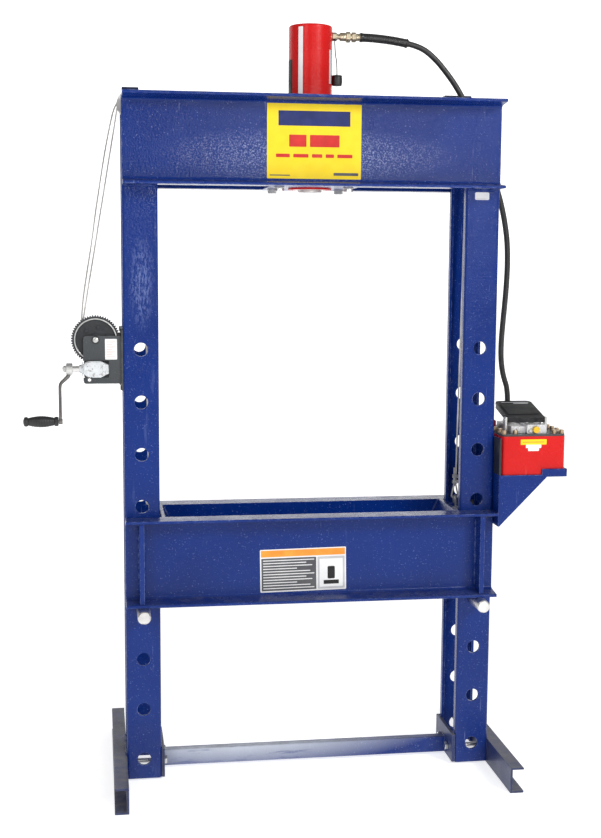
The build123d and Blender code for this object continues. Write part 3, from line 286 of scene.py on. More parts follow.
BLUE = (0.002, 0.026, 0.195)
BLUE_SHADE = (0.001, 0.018, 0.148)
BLUE_PALE = (0.24, 0.31, 0.60)
MATS = {
    "blue": enamel("blue_enamel", BLUE, BLUE_SHADE, BLUE_PALE, dusty=0.3),
    # The left post carries a painted glare patch: pale flecks near the top of its inner front edge.
    "blue_painted_glare": enamel("blue_enamel_painted_glare", BLUE, BLUE_SHADE, BLUE_PALE, dusty=0.3,
                           patch=(at(-0.498, -POST_FACE_Y, 1.475), (0.040, 0.05, 0.150), 150, 0.42,
                                  (1.5, 1.0, 0.45))),
    # The beam's front carries painted glints: pale flecks spread over its middle in the beam's pale
    # colour.
    "blue_beam": enamel("blue_enamel_beam", BLUE, BLUE_SHADE, (0.42, 0.48, 0.72), dusty=0.3,
                        patch=(at(-0.01, -0.13, 1.842), (0.46, 0.10, 0.085), 210, 0.85,
                               (1.0, 1.0, 1.0), 0.50)),
    # The brace's front carries a painted glare band: a long smooth pale patch in its pale
    # bluish-grey colour.
    "blue_brace": enamel("blue_enamel_brace", BLUE, BLUE_SHADE, (0.56, 0.60, 0.68), dusty=0.5,
                         gloss=0.3,
                         patch=(at(-0.22, -0.03, 0.10), (0.66, 0.10, 0.12), 8, 1.0,
                                (0.25, 1.0, 2.5), 0.32)),
    # Painted shade: a darker copy of the blue enamel for the sheave brackets.
    "blue_painted_shade": enamel("blue_enamel_painted_shade", (0.002, 0.010, 0.060), (0.001, 0.006, 0.040),
                        (0.10, 0.13, 0.26), gloss=0.3, wear_and_edge_highlight=0.5),
    "blue_dusty": enamel("blue_enamel_dusty", (0.006, 0.024, 0.13), (0.008, 0.014, 0.06),
                         (0.20, 0.23, 0.36), gloss=0.36, coat=0.15, dusty=1.0),
    "red": enamel("red_enamel", (0.66, 0.008, 0.008), (0.55, 0.006, 0.006), (0.85, 0.22, 0.18),
                  gloss=0.26, wear_and_edge_highlight=0.1, dimple=0.45),
    "black": enamel("black_enamel", (0.016, 0.017, 0.019), (0.009, 0.009, 0.010),
                    (0.11, 0.11, 0.12), gloss=0.40, coat=0.1, wear_and_edge_highlight=0.45, dimple=0.7),
    "grey_black": enamel("worn_black_enamel", (0.072, 0.078, 0.084), (0.040, 0.044, 0.048),
                         (0.24, 0.25, 0.26), gloss=0.46, coat=0.05, dimple=0.9),
    "zinc": metal("zinc_plate", (0.76, 0.76, 0.74), (0.52, 0.52, 0.51), 0.33),
    "bronzed": metal("yellow_zinc_plate", (0.66, 0.52, 0.36), (0.40, 0.29, 0.19), 0.34, stain=0.5),
    "cast": metal("bright_zinc_casting", (0.80, 0.82, 0.84), (0.64, 0.66, 0.69), 0.5, fine=120,
                  stain=0.9, metallic=0.35, spotted=0.09),
    "steel": metal("turned_steel", (0.82, 0.81, 0.79), (0.58, 0.57, 0.56), 0.30, (1, 30, 1), 14),
    "chrome": metal("hard_chrome", (0.82, 0.82, 0.84), (0.66, 0.66, 0.68), 0.13, (1, 1, 40), 10,
                    0.05),
    "rope": metal("galvanised_wire", (0.80, 0.79, 0.76), (0.50, 0.49, 0.47), 0.42, stain=0.45,
                  edge_radius=0.0004, metallic=0.5),
    "gear": metal("blackened_gear", (0.040, 0.044, 0.050), (0.018, 0.020, 0.023), 0.50, stain=0.2,
                  metallic=0.25),
    "dark_iron": metal("dark_iron", (0.12, 0.12, 0.13), (0.05, 0.05, 0.055), 0.45, stain=0.3),
    "crank_steel": metal("darkened_bar", (0.30, 0.29, 0.28), (0.12, 0.115, 0.11), 0.34, (1, 1, 0.1),
                         60, 0.4),
    "brass": metal("nickel_brass", (0.70, 0.62, 0.46), (0.42, 0.35, 0.24), 0.3),
    "alloy": metal("cast_alloy", (0.84, 0.84, 0.84), (0.60, 0.60, 0.61), 0.42, stain=0.35,
                   metallic=0.8),
    "rubber": moulded("black_rubber", (0.020, 0.020, 0.021), (0.010, 0.010, 0.010), 0.42, 500),
    "plastic": moulded("black_plastic", (0.02, 0.02, 0.022), (0.011, 0.011, 0.012), 0.4, 420),
    "guard": moulded("hose_guard_rubber", (0.018, 0.018, 0.019), (0.009, 0.009, 0.009), 0.26, 260,
                     0.5),
    "ribbed": moulded("dark_grey_plastic", (0.026, 0.027, 0.029), (0.016, 0.017, 0.018), 0.45, 420),
    "worn_rib": moulded("rubbed_grey_plastic", (0.60, 0.61, 0.62), (0.40, 0.41, 0.42), 0.5, 420),
    "red_plastic": moulded("red_plastic", (0.6, 0.02, 0.016), (0.42, 0.012, 0.01), 0.3, 600, 0.1),
    "yellow_plastic": moulded("yellow_plastic", (0.93, 0.60, 0.01), (0.74, 0.43, 0.008), 0.3, 600,
                              0.1),
    "white": vinyl("white_film", (0.88, 0.88, 0.87), (0.80, 0.80, 0.80)),
    "yellow": vinyl("yellow_film", (0.93, 0.69, 0.018), (0.88, 0.63, 0.015)),
    "orange": vinyl("orange_film", (0.92, 0.36, 0.05), (0.80, 0.28, 0.035)),
    "rose": vinyl("rose_film", (0.84, 0.52, 0.48), (0.74, 0.46, 0.43)),
    "print_red": vinyl("red_film", (0.66, 0.03, 0.025), (0.52, 0.022, 0.018)),
    "print_blue": vinyl("navy_film", (0.018, 0.03, 0.16), (0.012, 0.022, 0.11)),
    "print_grey": vinyl("grey_film", (0.12, 0.122, 0.125), (0.08, 0.08, 0.09)),
    "pale_grey": vinyl("pale_grey_film", (0.58, 0.59, 0.6), (0.5, 0.5, 0.52)),
    "print_black": vinyl("black_film", (0.02, 0.02, 0.022), (0.012, 0.012, 0.012)),
}

CAD_FINISH = {
    # Painted glare on the left post's front.
    "blue_painted_glare": ["left_post"],
    "blue_beam": ["beam_front_channel"],
    "blue": ["right_post", "beam_rear_channel", "bed_front_channel",
             "bed_rear_channel", "bed_stiffeners", "bed_end_ties", "cylinder_plate", "head_plate",
             "pump_bracket"],
    # Painted shade on the sheave brackets.
    "blue_painted_shade": ["sheave_brackets"],
    "blue_dusty": ["feet", "brace_end_plates"],
    "blue_brace": ["bottom_brace"],
    "red": ["cylinder_barrel", "pump_tank"],
    "black": ["treadle"],
    "grey_black": ["winch_frame", "pump_top_plate"],
    "gear": ["worm_wheel"],
    "dark_iron": ["rope_drum"],
    "zinc": ["tie_bolts", "cylinder_plate_bolts", "side_bolts", "rope_end_fittings", "drum_axle",
             "sheave_axles", "treadle_hinge", "pump_cover_screws"],
    "cast": ["worm_housing"],
    "steel": ["left_pin", "right_pin", "worm_shaft", "crank_arm", "ram_saddle", "cylinder_gland",
              "ram_piston",
              "return_spring", "left_sheave_long_rope", "left_sheave_short_rope", "right_sheave"],
    "chrome": ["ram_plunger"],
    "rope": ["long_rope", "long_rope_drop", "short_rope", "short_rope_drop", "rope_coils",
             "rope_eyes"],
    "rubber": ["hydraulic_hose", "hose_guard", "cap_lanyard"],
    "plastic": ["dust_cap", "crank_grip"],
    "alloy": ["pump_manifold", "air_motor"],
    "red_plastic": ["filler_cap"],
    "yellow_plastic": ["relief_valve_knob"],
    "brass": ["quick_coupler", "pump_outlet_fitting"],
}
for finish, nodes in CAD_FINISH.items():
    for node in nodes:
        for place in frame["nodes"][node].material_slots:
            place.material = MATS[finish]


# ---------------------------------------------------------------- mesh building
class Shape:
    """Vertices and faces gathered from several forms into one piece."""

    def __init__(self):
        self.points = []
        self.faces = []
        self.marks = []

    def add(self, points, faces, mark=0):
        start = len(self.points)
        self.points += [tuple(p) for p in points]
        self.faces += [tuple(start + i for i in face) for face in faces]
        self.marks += [mark] * len(faces)
        return self

    def piece(self, name, finishes, body, slot_name, smooth=None, replaces=()):
        mesh = bpy.data.meshes.new(name)
        mesh.from_pydata(self.points, [], self.faces)
        finishes = [finishes] if isinstance(finishes, str) else finishes
        for finish in finishes:
            mesh.materials.append(MATS[finish])
        mesh.polygons.foreach_set("material_index", self.marks)
        shell = bmesh.new()
        shell.from_mesh(mesh)
        bmesh.ops.recalc_face_normals(shell, faces=shell.faces)
        shell.to_mesh(mesh)
        shell.free()
        made = bpy.data.objects.new(name, mesh)
        bpy.context.scene.collection.objects.link(made)
        if smooth is not None:
            mesh.polygons.foreach_set("use_smooth", [True] * len(mesh.polygons))
            mesh.set_sharp_from_angle(angle=radians(smooth))
        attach(made, body)
        if replaces:
            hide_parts(*replaces)
        return made


def frame_at(origin, axis):
    """Right-handed axes with their third along axis."""
    w = Vector(axis).normalized()
    helper = Vector((0, 0, 1)) if abs(w.z) < 0.9 else Vector((1, 0, 0))
    u = helper.cross(w).normalized()
    return Vector(origin), u, w.cross(u), w


def lathe(shape, origin, axis, profile, sides=40, mark=0, hexed=()):
    """Turn (height, radius) pairs round an axis; rows named in hexed are six-sided.

    A profile that ends where it began makes a ring with an open middle.
    """
    o, u, v, w = frame_at(origin, axis)
    ringed = profile[0] == profile[-1]
    points, rows = [], []
    for row, (height, radius) in enumerate(profile[:-1] if ringed else profile):
        if radius == 0:
            rows.append([len(points)] * sides)
            points.append(o + w * height)
            continue
        rows.append(range(len(points), len(points) + sides))
        for k in range(sides):
            angle = 2 * pi * k / sides
            reach = radius
            if row in hexed:
                reach = radius * cos(pi / 6) / cos((angle + pi / 6) % (pi / 3) - pi / 6)
            points.append(o + w * height + (u * cos(angle) + v * sin(angle)) * reach)
    if ringed:
        rows.append(rows[0])
    faces = []
    for row, beyond in zip(rows, rows[1:]):
        for k in range(sides):
            after = (k + 1) % sides
            corners = dict.fromkeys((row[k], row[after], beyond[after], beyond[k]))
            if len(corners) > 2:
                faces.append(tuple(corners))
    if profile[0][1] > 0 and not ringed:
        faces.append(tuple(reversed(rows[0])))
    if profile[-1][1] > 0 and not ringed:
        faces.append(tuple(rows[-1]))
    return shape.add(points, faces, mark)


def turned(shape, origin, axis, rim, sides=40, mark=0):
    """A lathe form with flat closed ends; rim holds its (height, radius) pairs."""
    return lathe(shape, origin, axis, [(rim[0][0], 0.0), *rim, (rim[-1][0], 0.0)], sides, mark)


def grooves(count, first, pitch, flank, width, radius, depth):
    """Profile rows of equal grooves in a turned surface."""
    rows = []
    for k in range(count):
        x = first + k * pitch
        rows += [(x, radius), (x + flank, radius - depth), (x + width - flank, radius - depth),
                 (x + width, radius)]
    return rows


def tube_faces(rows, sides):
    """Faces between rings of points that follow each other, and a cap at both ends."""
    faces = []
    for i in range(rows - 1):
        for k in range(sides):
            a, b = i * sides + k, i * sides + (k + 1) % sides
            faces.append((a, b, b + sides, a + sides))
    faces.append(tuple(range(sides - 1, -1, -1)))
    faces.append(tuple(range((rows - 1) * sides, rows * sides)))
    return faces


def slab(shape, lowest, highest, mark, chamfer):
    """A plate with small chamfers on all its edges."""
    c = min(chamfer, *[(b - a) * 0.4 for a, b in zip(lowest, highest)])
    x, y, z = zip(lowest, highest)
    points, index = [], {}
    for i in (0, 1):
        for j in (0, 1):
            for k in (0, 1):
                corner = Vector((x[i], y[j], z[k]))
                inward = Vector((c if i == 0 else -c, c if j == 0 else -c, c if k == 0 else -c))
                for axis in range(3):
                    p = corner + inward
                    p[axis] = corner[axis]
                    index[i, j, k, axis] = len(points)
                    points.append(p)
    q = index
    faces = [(q[i, j, k, 0], q[i, j, k, 1], q[i, j, k, 2]) for i in (0, 1) for j in (0, 1)
             for k in (0, 1)]
    for i in (0, 1):
        faces.append(tuple(q[i, j, k, 0] for j, k in ((0, 0), (1, 0), (1, 1), (0, 1))))
        faces.append(tuple(q[j, i, k, 1] for j, k in ((0, 0), (1, 0), (1, 1), (0, 1))))
        faces.append(tuple(q[j, k, i, 2] for j, k in ((0, 0), (1, 0), (1, 1), (0, 1))))
        for j in (0, 1):
            faces.append((q[0, i, j, 1], q[1, i, j, 1], q[1, i, j, 2], q[0, i, j, 2]))
            faces.append((q[i, 0, j, 0], q[i, 1, j, 0], q[i, 1, j, 2], q[i, 0, j, 2]))
            faces.append((q[i, j, 0, 0], q[i, j, 1, 0], q[i, j, 1, 1], q[i, j, 0, 1]))
    return shape.add(points, faces, mark)


def line_points(a, b, step):
    a, b = Vector(a), Vector(b)
    count = max(2, int((b - a).length / step) + 1)
    return [a.lerp(b, i / (count - 1)) for i in range(count)]


def arc_points(centre, radius, start, end, y, step=0.003):
    """Points round a Y axis; angle 0 is +X and 90 degrees is up."""
    count = max(3, int(abs(end - start) * radius / step) + 1)
    angles = [start + (end - start) * i / (count - 1) for i in range(count)]
    return [Vector((centre.x + radius * cos(t), y, centre.z + radius * sin(t))) for t in angles]


def curve_points(points, step=0.003):
    """A smooth line through points, by Catmull-Rom segments."""
    points = [Vector(p) for p in points]
    ends = [2 * points[0] - points[1]] + points + [2 * points[-1] - points[-2]]
    made = []
    for i in range(1, len(ends) - 2):
        p0, p1, p2, p3 = ends[i - 1:i + 3]
        count = max(2, int((p2 - p1).length / step))
        for k in range(count):
            t = k / count
            made.append(0.5 * (2 * p1 + (p2 - p0) * t + (2 * p0 - 5 * p1 + 4 * p2 - p3) * t * t
                               + (3 * p1 - p0 - 3 * p2 + p3) * t ** 3))
    made.append(points[-1])
    return made


def along(path):
    """Each point of a path with two directions across it that don't twist."""
    first = (path[1] - path[0]).normalized()
    u = first.orthogonal().normalized()
    rows = []
    for i, point in enumerate(path):
        before, after = path[max(0, i - 1)], path[min(len(path) - 1, i + 1)]
        tangent = (after - before).normalized()
        u = (u - tangent * u.dot(tangent)).normalized()
        rows.append((point, u.copy(), tangent.cross(u)))
    return rows


def pipe(shape, path, radius, sides, mark=0):
    """A tube on a path; radius is a number or a function of the share along it."""
    rows = along(path)
    points = []
    for i, (point, u, v) in enumerate(rows):
        r = radius(i / (len(rows) - 1)) if callable(radius) else radius
        points += [point + (u * cos(2 * pi * k / sides) + v * sin(2 * pi * k / sides)) * r
                   for k in range(sides)]
    return shape.add(points, tube_faces(len(rows), sides), mark)


def strands(shape, path, diameter):
    """A laid wire rope: strands wound round the path, touching each other."""
    pitch, count, sides = 0.032, 6, 5
    rows = along(path)
    ring = diameter / 2 * 0.66
    thick = diameter / 2 - ring
    walked = 0.0
    centres = [[] for _ in range(count)]
    for i, (point, u, v) in enumerate(rows):
        if i:
            walked += (point - rows[i - 1][0]).length
        for s in range(count):
            angle = 2 * pi * (s / count + walked / pitch)
            centres[s].append(point + (u * cos(angle) + v * sin(angle)) * ring)
    for line in centres:
        pipe(shape, line, thick * 1.12, sides)
    return pipe(shape, path, ring * 0.8, 6)


def weld(shape, a, b, face_one, face_two, leg):
    """A fillet bead in the corner of two faces, with the ripples of the torch."""
    a, b = Vector(a), Vector(b)
    n1, n2 = Vector(face_one), Vector(face_two)
    length = (b - a).length
    steps = max(8, int(length / 0.0014))
    seed = a * 31.7
    points = []
    rows = 5
    for i in range(steps + 1):
        share = i / steps
        centre = a.lerp(b, share)
        ripple = 0.80 + 0.16 * abs(sin(pi * share * length / 0.0052))
        drift = 1 + 0.22 * noise.noise(centre * 90 + seed)
        fade = min(1, 0.35 + 12 * min(share, 1 - share))
        reach = leg * ripple * drift * fade
        for k in range(rows):
            t = k / (rows - 1)
            bulge = 1 + 0.22 * sin(pi * t)
            blend = (n1 * cos(t * pi / 2) + n2 * sin(t * pi / 2)) * reach
            flat = (n1 * (1 - t) + n2 * t) * reach
            points.append(centre + flat.lerp(blend, 0.45) * bulge - (n1 + n2) * 0.0006)
    faces = [(i * rows + k, i * rows + k + 1, (i + 1) * rows + k + 1, (i + 1) * rows + k)
             for i in range(steps) for k in range(rows - 1)]
    faces.append(tuple(range(rows)))
    faces.append(tuple(range(len(points) - 1, len(points) - rows - 1, -1)))
    faces += [(i * rows, (i + 1) * rows, (i + 1) * rows + rows - 1, i * rows + rows - 1)
              for i in range(steps)]
    return shape.add(points, faces)


def hex_head(shape, origin, axis, flats, height):
    """A hexagon head or nut with its corners turned off on the free side."""
    corner = flats / 2 / cos(pi / 6)
    rise = (corner - flats / 2) * 0.62
    profile = [(0, flats * 0.46), (0.0006, flats * 0.46), (0.0007, corner), (height - rise, corner),
               (height, flats * 0.47), (height, 0.0)]
    return lathe(shape, origin, axis, profile, 36, hexed=(2, 3))


def thread(shape, origin, axis, length, diameter, pitch):
    """A threaded end: ridges and a chamfered tip."""
    outer, inner = diameter / 2, diameter / 2 - pitch * 0.55
    profile = [(0, outer)]
    count = int((length - pitch) / pitch)
    for i in range(count):
        profile += [((i + 0.5) * pitch, inner), ((i + 1) * pitch, outer)]
    profile += [(length - 0.0008, outer), (length, inner - 0.0004), (length, 0.0)]
    return lathe(shape, origin, axis, profile, 24)


def bar(shape, origin, axis, length, diameter):
    r, c = diameter / 2, 0.0006
    return turned(shape, origin, axis, [(0, r - c), (c, r), (length - c, r), (length, r - c)], 32)


def washer(inner, outer, thick):
    """The ring profile of a washer with its outer corners broken."""
    c = 0.0003
    return [(0, inner), (0, outer - c), (c, outer), (thick - c, outer), (thick, outer - c),
            (thick, inner), (0, inner)]


# ---------------------------------------------------------------- hydraulic hose and its ends
HOSE_D = 0.017
HOSE_ROUTE = [
    (0.29102, 0, 2.17604), (0.3283, 0, 2.16879), (0.370, 0, 2.139), (0.405, 0, 2.101),
    (0.438, 0, 2.059),
    (0.465, 0, 2.014), (0.489, 0, 1.965), (0.511, 0, 1.913), (0.533, 0, 1.860), (0.554, 0, 1.807),
    (0.573, 0, 1.756), (0.588, 0.001, 1.708), (0.600, 0.003, 1.658), (0.609, 0.006, 1.607),
    (0.613, 0.009, 1.555), (0.614, 0.013, 1.502), (0.613, 0.018, 1.449), (0.611, 0.024, 1.396),
    (0.609, 0.031, 1.343), (0.608, 0.038, 1.291), (0.611, 0.046, 1.240), (0.621, 0.054, 1.191),
    (0.640, 0.060, 1.144), (0.640, 0.060, 1.100)]
LANYARD_D = 0.003
LANYARD_ROUTE = [(0.0715, 0, 2.1789), (0.0725, 0, 2.146), (0.079, 0, 2.114), (0.079, 0, 2.082)]
PORT_Z = middle("quick_coupler").z


def hanging_cord(name, route, diameter, finish, node):
    data = bpy.data.curves.new(name, "CURVE")
    data.dimensions = "3D"
    spline = data.splines.new("NURBS")
    spline.points.add(len(route) - 1)
    for knot, place in zip(spline.points, route):
        knot.co = (*at(*place), 1)
    spline.order_u = 3
    spline.use_endpoint_u = True
    spline.resolution_u = 10
    data.bevel_depth = diameter / 2
    data.bevel_resolution = 6
    data.use_fill_caps = True
    data.materials.append(MATS[finish])
    made = bpy.data.objects.new(name, data)
    bpy.context.scene.collection.objects.link(made)
    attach(made, "frame")
    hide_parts(node)
    return made


def knurled(shape, origin, axis, length, radius, rows, sides, depth):
    """A gripping band: crossed ridges between two smooth ends."""
    o, u, v, w = frame_at(origin, axis)
    points = []
    for i in range(rows + 1):
        for k in range(sides):
            angle = 2 * pi * (k + 0.5 * (i % 2)) / sides
            proud = depth if (k + i // 2) % 2 == 0 and 0 < i < rows else 0
            out = (u * cos(angle) + v * sin(angle)) * (radius - depth + proud)
            points.append(o + w * (length * i / rows) + out)
    return shape.add(points, tube_faces(rows + 1, sides))


def hydraulic_line():
    hose = hanging_cord("hydraulic_hose_line", HOSE_ROUTE, HOSE_D, "rubber", "hydraulic_hose")
    cap = Shape()
    top = at(0.079, 0, high("dust_cap", 2) - 0.002)
    turned(cap, top, DOWN, [(0, 0.0135), (0.0015, 0.0152), (0.005, 0.0152), (0.0055, 0.0142),
                            (0.0062, 0.0142)], 48)
    knurled(cap, top + Vector((0, 0, -0.0062)), DOWN, 0.0178, 0.0155, 12, 56, 0.0007)
    turned(cap, top + Vector((0, 0, -0.024)), DOWN, [(0, 0.0148), (0.004, 0.0148), (0.006, 0.013)],
           48)
    turned(cap, top, UP, [(-0.001, 0.005), (0.0012, 0.004), (0.002, 0.0022)], 24)
    cap = cap.piece("dust_cap_knurled", "plastic", "frame", "black_plastic", 40, ["dust_cap"])
    lanyard = hanging_cord("cap_lanyard_cord", LANYARD_ROUTE, LANYARD_D, "rubber", "cap_lanyard")
    coupler()
    guard()


def coupler():
    """Port fitting, knurled collar, two swivel nuts and the crimped ferrule."""
    face = high("cylinder_barrel", 0) - RAM_X
    shape = Shape()

    def spot(x):
        return at(x, 0, PORT_Z)

    hex_head(shape, spot(face - 0.0005), RIGHT, 0.0215, 0.0145)
    turned(shape, spot(face + 0.014), RIGHT, [(0, 0.0085), (0.003, 0.0085), (0.0035, 0.0075),
                                              (0.0055, 0.0075), (0.006, 0.0085), (0.009, 0.0085)],
           36)
    knurled(shape, spot(face + 0.0225), RIGHT, 0.0165, 0.0122, 12, 44, 0.0007)
    turned(shape, spot(face + 0.039), RIGHT, [(0, 0.0118), (0.0015, 0.0108)], 44)
    hex_head(shape, spot(0.104), RIGHT, 0.027, 0.0132)
    turned(shape, spot(0.116), RIGHT, [(0, 0.0098), (0.006, 0.0098)], 36)
    hex_head(shape, spot(0.134), LEFT, 0.025, 0.0132)
    crimp = grooves(3, 0.002, 0.0034, 0.0006, 0.002, 0.011, 0.0007)
    lathe(shape, spot(0.134), RIGHT, [(0, 0.0), (0, 0.0108), *crimp, (0.012, 0.0108),
                                      (0.0125, 0.0)], 40)
    shape.piece("coupler_turned", "brass", "frame", "brass", 35, ["quick_coupler"])


def guard():
    """The bend guard: a thick sleeve with a lip at each end that narrows onto the hose."""
    radius, turn = 0.760, radians(11)
    start = at(0.146, 0, PORT_Z)
    path = [start + Vector((radius * sin(turn * i / 90), 0, -radius * (1 - cos(turn * i / 90))))
            for i in range(91)]

    def thick(share):
        lips = 0.0135 if share < 0.05 or share > 0.955 else 0.0124
        ring = 0.0003 * sin(share * 2 * pi * 40)
        if share > 0.985:
            return 0.0105
        return lips + ring

    pipe(Shape(), path, thick, 32).piece("hose_guard_sleeve", "guard", "frame", "rubber", 40,
                                         ["hose_guard"])


hydraulic_line()


# ---------------------------------------------------------------- wire ropes
ROPE_D = 0.005
DRUM = middle("rope_drum")
COIL_R = size("rope_coils", 0) / 2
LAID_R = COIL_R + ROPE_D / 2 + 0.0003
FRONT_SHEAVE = middle("left_sheave_short_rope")
REAR_SHEAVE = middle("left_sheave_long_rope")
FAR_SHEAVE = middle("right_sheave")
SHEAVE_R = high("right_sheave", 0) - FAR_SHEAVE.x - 0.0045
EYE_R = 0.010
EYE_LEG = 0.0027
EYE_X = {-1: low("rope_eyes", 0) + ROPE_D / 2 + EYE_R - EYE_LEG,
         1: high("rope_eyes", 0) - ROPE_D / 2 - EYE_R + EYE_LEG}


def rope_on_drum(lean, y):
    """The last part of a turn on the drum, up to where the rope leaves it."""
    return arc_points(DRUM, LAID_R, pi + 1.5, pi - lean, y)


def ropes():
    reach = FRONT_SHEAVE - DRUM
    taut = atan2(reach.x, reach.z) + atan2(LAID_R - SHEAVE_R, hypot(reach.x, reach.z))
    drum_y = low("short_rope", 1) + ROPE_D / 2
    start = rope_on_drum(taut, drum_y)
    over = arc_points(FRONT_SHEAVE, SHEAVE_R, pi - taut, 0, FRONT_SHEAVE.y)
    path = start + line_points(start[-1], over[0], 0.004)[1:-1] + over
    strands(Shape(), path, ROPE_D).piece("short_rope_laid", "rope", "frame", "rope_steel", 60,
                                         ["short_rope"])
    drop(path[-1], "short_rope_drop", -1)
    landing = radians(25)
    over = arc_points(REAR_SHEAVE, SHEAVE_R, pi - landing, pi / 2, REAR_SHEAVE.y)
    last = over[0] - Vector((sin(landing), 0.011, cos(landing))) * 0.044
    start = rope_on_drum(radians(4.5), low("long_rope", 1) + ROPE_D / 2)
    slack = [start[-1], at(-0.6645, 0.047, 1.424), at(-0.638, 0.053, 1.590),
             at(-0.621, 0.060, 1.706), at(-0.595, 0.068, 1.860), last, over[0]]
    far = arc_points(FAR_SHEAVE, SHEAVE_R, pi / 2, 0, FAR_SHEAVE.y)
    path = start[:-1] + curve_points(slack, 0.004)[:-1] + over + line_points(over[-1], far[0],
                                                                             0.004)[1:-1] + far
    strands(Shape(), path, ROPE_D).piece("long_rope_laid", "rope", "frame", "rope_steel", 60,
                                         ["long_rope"])
    drop(path[-1], "long_rope_drop", 1)
    coil()
    eyes()


def drop(top, node, side):
    """The run down to the bed; its upper end stays on the sheave."""
    bottom = Vector((EYE_X[side], low("rope_eyes", 1) + ROPE_D / 2, low(node, 2)))
    shape = strands(Shape(), line_points(top, bottom, 0.004), ROPE_D)
    made = shape.piece(node + "_laid", "rope", "frame", "rope_steel", 60, [node])
    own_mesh(made)


def coil():
    """Turns of rope side by side on the drum."""
    pitch = ROPE_D + 0.0004
    y0 = low("rope_coils", 1) + ROPE_D / 2
    turns = (size("rope_coils", 1) - ROPE_D) / pitch
    steps = int(turns * 56)
    wound = COIL_R - ROPE_D / 2
    path = []
    for i in range(steps + 1):
        angle = 2 * pi * turns * i / steps
        path.append(DRUM + Vector((wound * cos(angle), y0 - DRUM.y + pitch * turns * i / steps,
                                   wound * sin(angle))))
    strands(Shape(), path, ROPE_D).piece("rope_coils_laid", "rope", "drum", "rope_steel", 60,
                                         ["rope_coils"])


def eyes():
    """The rope's bent-back end round the shackle, on both sides of the bed."""
    y = (low("rope_eyes", 1) + high("rope_eyes", 1)) / 2
    z_bow = low("rope_eyes", 2) + ROPE_D / 2 + EYE_R
    tail_top = high("rope_eyes", 2)
    live_top = low("short_rope_drop", 2) - 0.0003
    clip_z = live_top - 0.038
    shape = Shape()
    for side in (-1, 1):
        x = EYE_X[side] - side * EYE_LEG
        bow = arc_points(Vector((x, y, z_bow)), EYE_R, pi, 2 * pi, y, 0.002)
        path = line_points((x - EYE_LEG, y, tail_top if side > 0 else live_top),
                           (x - EYE_LEG, y, clip_z), 0.003)
        path += line_points(path[-1], bow[0], 0.003)[1:] + bow[1:]
        path += line_points(bow[-1], (x + EYE_LEG, y, clip_z), 0.003)[1:]
        path += line_points(path[-1], (x + EYE_LEG, y, live_top if side > 0 else tail_top),
                            0.003)[1:]
        strands(shape, path, ROPE_D)
    shape.piece("rope_eyes_laid", "rope", "bed", "rope_steel", 60, ["rope_eyes"])


ropes()


# ---------------------------------------------------------------- bolts
def bolt_sets():
    tie = Shape()
    spread, z = 0.044, 0.041
    inner = POST_IN_R - RAM_X - 0.010
    outer = high("feet", 0) - RAM_X - 0.040 + 0.006
    for side in (-1, 1):
        out = (side, 0, 0)
        for y in (-spread, spread):
            hex_head(tie, at(side * inner, y, z), (-side, 0, 0), 0.022, 0.009)
            bar(tie, at(side * (inner - 0.001), y, z), out, outer - inner + 0.002, 0.014)
            lathe(tie, at(side * outer, y, z), out, washer(0.0075, 0.0145, 0.0022), 36)
            hex_head(tie, at(side * (outer + 0.0022), y, z), out, 0.022, 0.0115)
            thread(tie, at(side * (outer + 0.012), y, z), out, 0.006, 0.0138, 0.0018)
    tie.piece("tie_bolts_turned", "zinc", "frame", "zinc", 35, ["tie_bolts"])
    plate = Shape()
    nut_z = high("head_plate", 2)
    for x in (-0.101, 0.101):
        for y in (-0.080, 0.080):
            lathe(plate, at(x, y, BEAM_Z0), DOWN, washer(0.0082, 0.015, 0.003), 40)
            hex_head(plate, at(x, y, BEAM_Z0 - 0.003), DOWN, 0.024, 0.010)
            lathe(plate, at(x, y, nut_z), UP, washer(0.0082, 0.015, 0.0025), 40)
            hex_head(plate, at(x, y, nut_z + 0.0025), UP, 0.024, 0.0125)
            thread(plate, at(x, y, nut_z + 0.012), UP, 0.008, 0.0158, 0.002)
            bar(plate, at(x, y, BEAM_Z0 - 0.001), UP, nut_z - BEAM_Z0 + 0.002, 0.016)
    plate.piece("cylinder_plate_bolts_turned", "zinc", "frame", "zinc", 35,
                ["cylinder_plate_bolts"])
    sides = Shape()
    winch_z = (low("winch_frame", 2) + 0.008, high("winch_frame", 2) - 0.008)
    pump_z = (low("pump_tank", 2) - 0.122, low("pump_tank", 2) - 0.034)
    face = POST_OUT_R - RAM_X + 0.005
    inside = face - 0.013
    for side, heights, tall in ((-1, winch_z, 0.0034), (1, pump_z, 0.0064)):
        out, back = (side, 0, 0), (-side, 0, 0)
        for z in heights:
            for y in (-0.0805, 0.0805):
                lathe(sides, at(side * face, y, z), out, washer(0.0052, 0.0079, 0.0008), 30)
                hex_head(sides, at(side * (face + 0.0008), y, z), out, 0.014, tall - 0.0008)
                hex_head(sides, at(side * inside, y, z), back, 0.014, 0.008)
                thread(sides, at(side * (inside - 0.0078), y, z), back, 0.0035, 0.0098, 0.0015)
                bar(sides, at(side * (inside - 0.001), y, z), out, 0.015, 0.010)
    sides.piece("side_bolts_turned", "grey_black", "frame", "zinc", 35, ["side_bolts"])


bolt_sets()


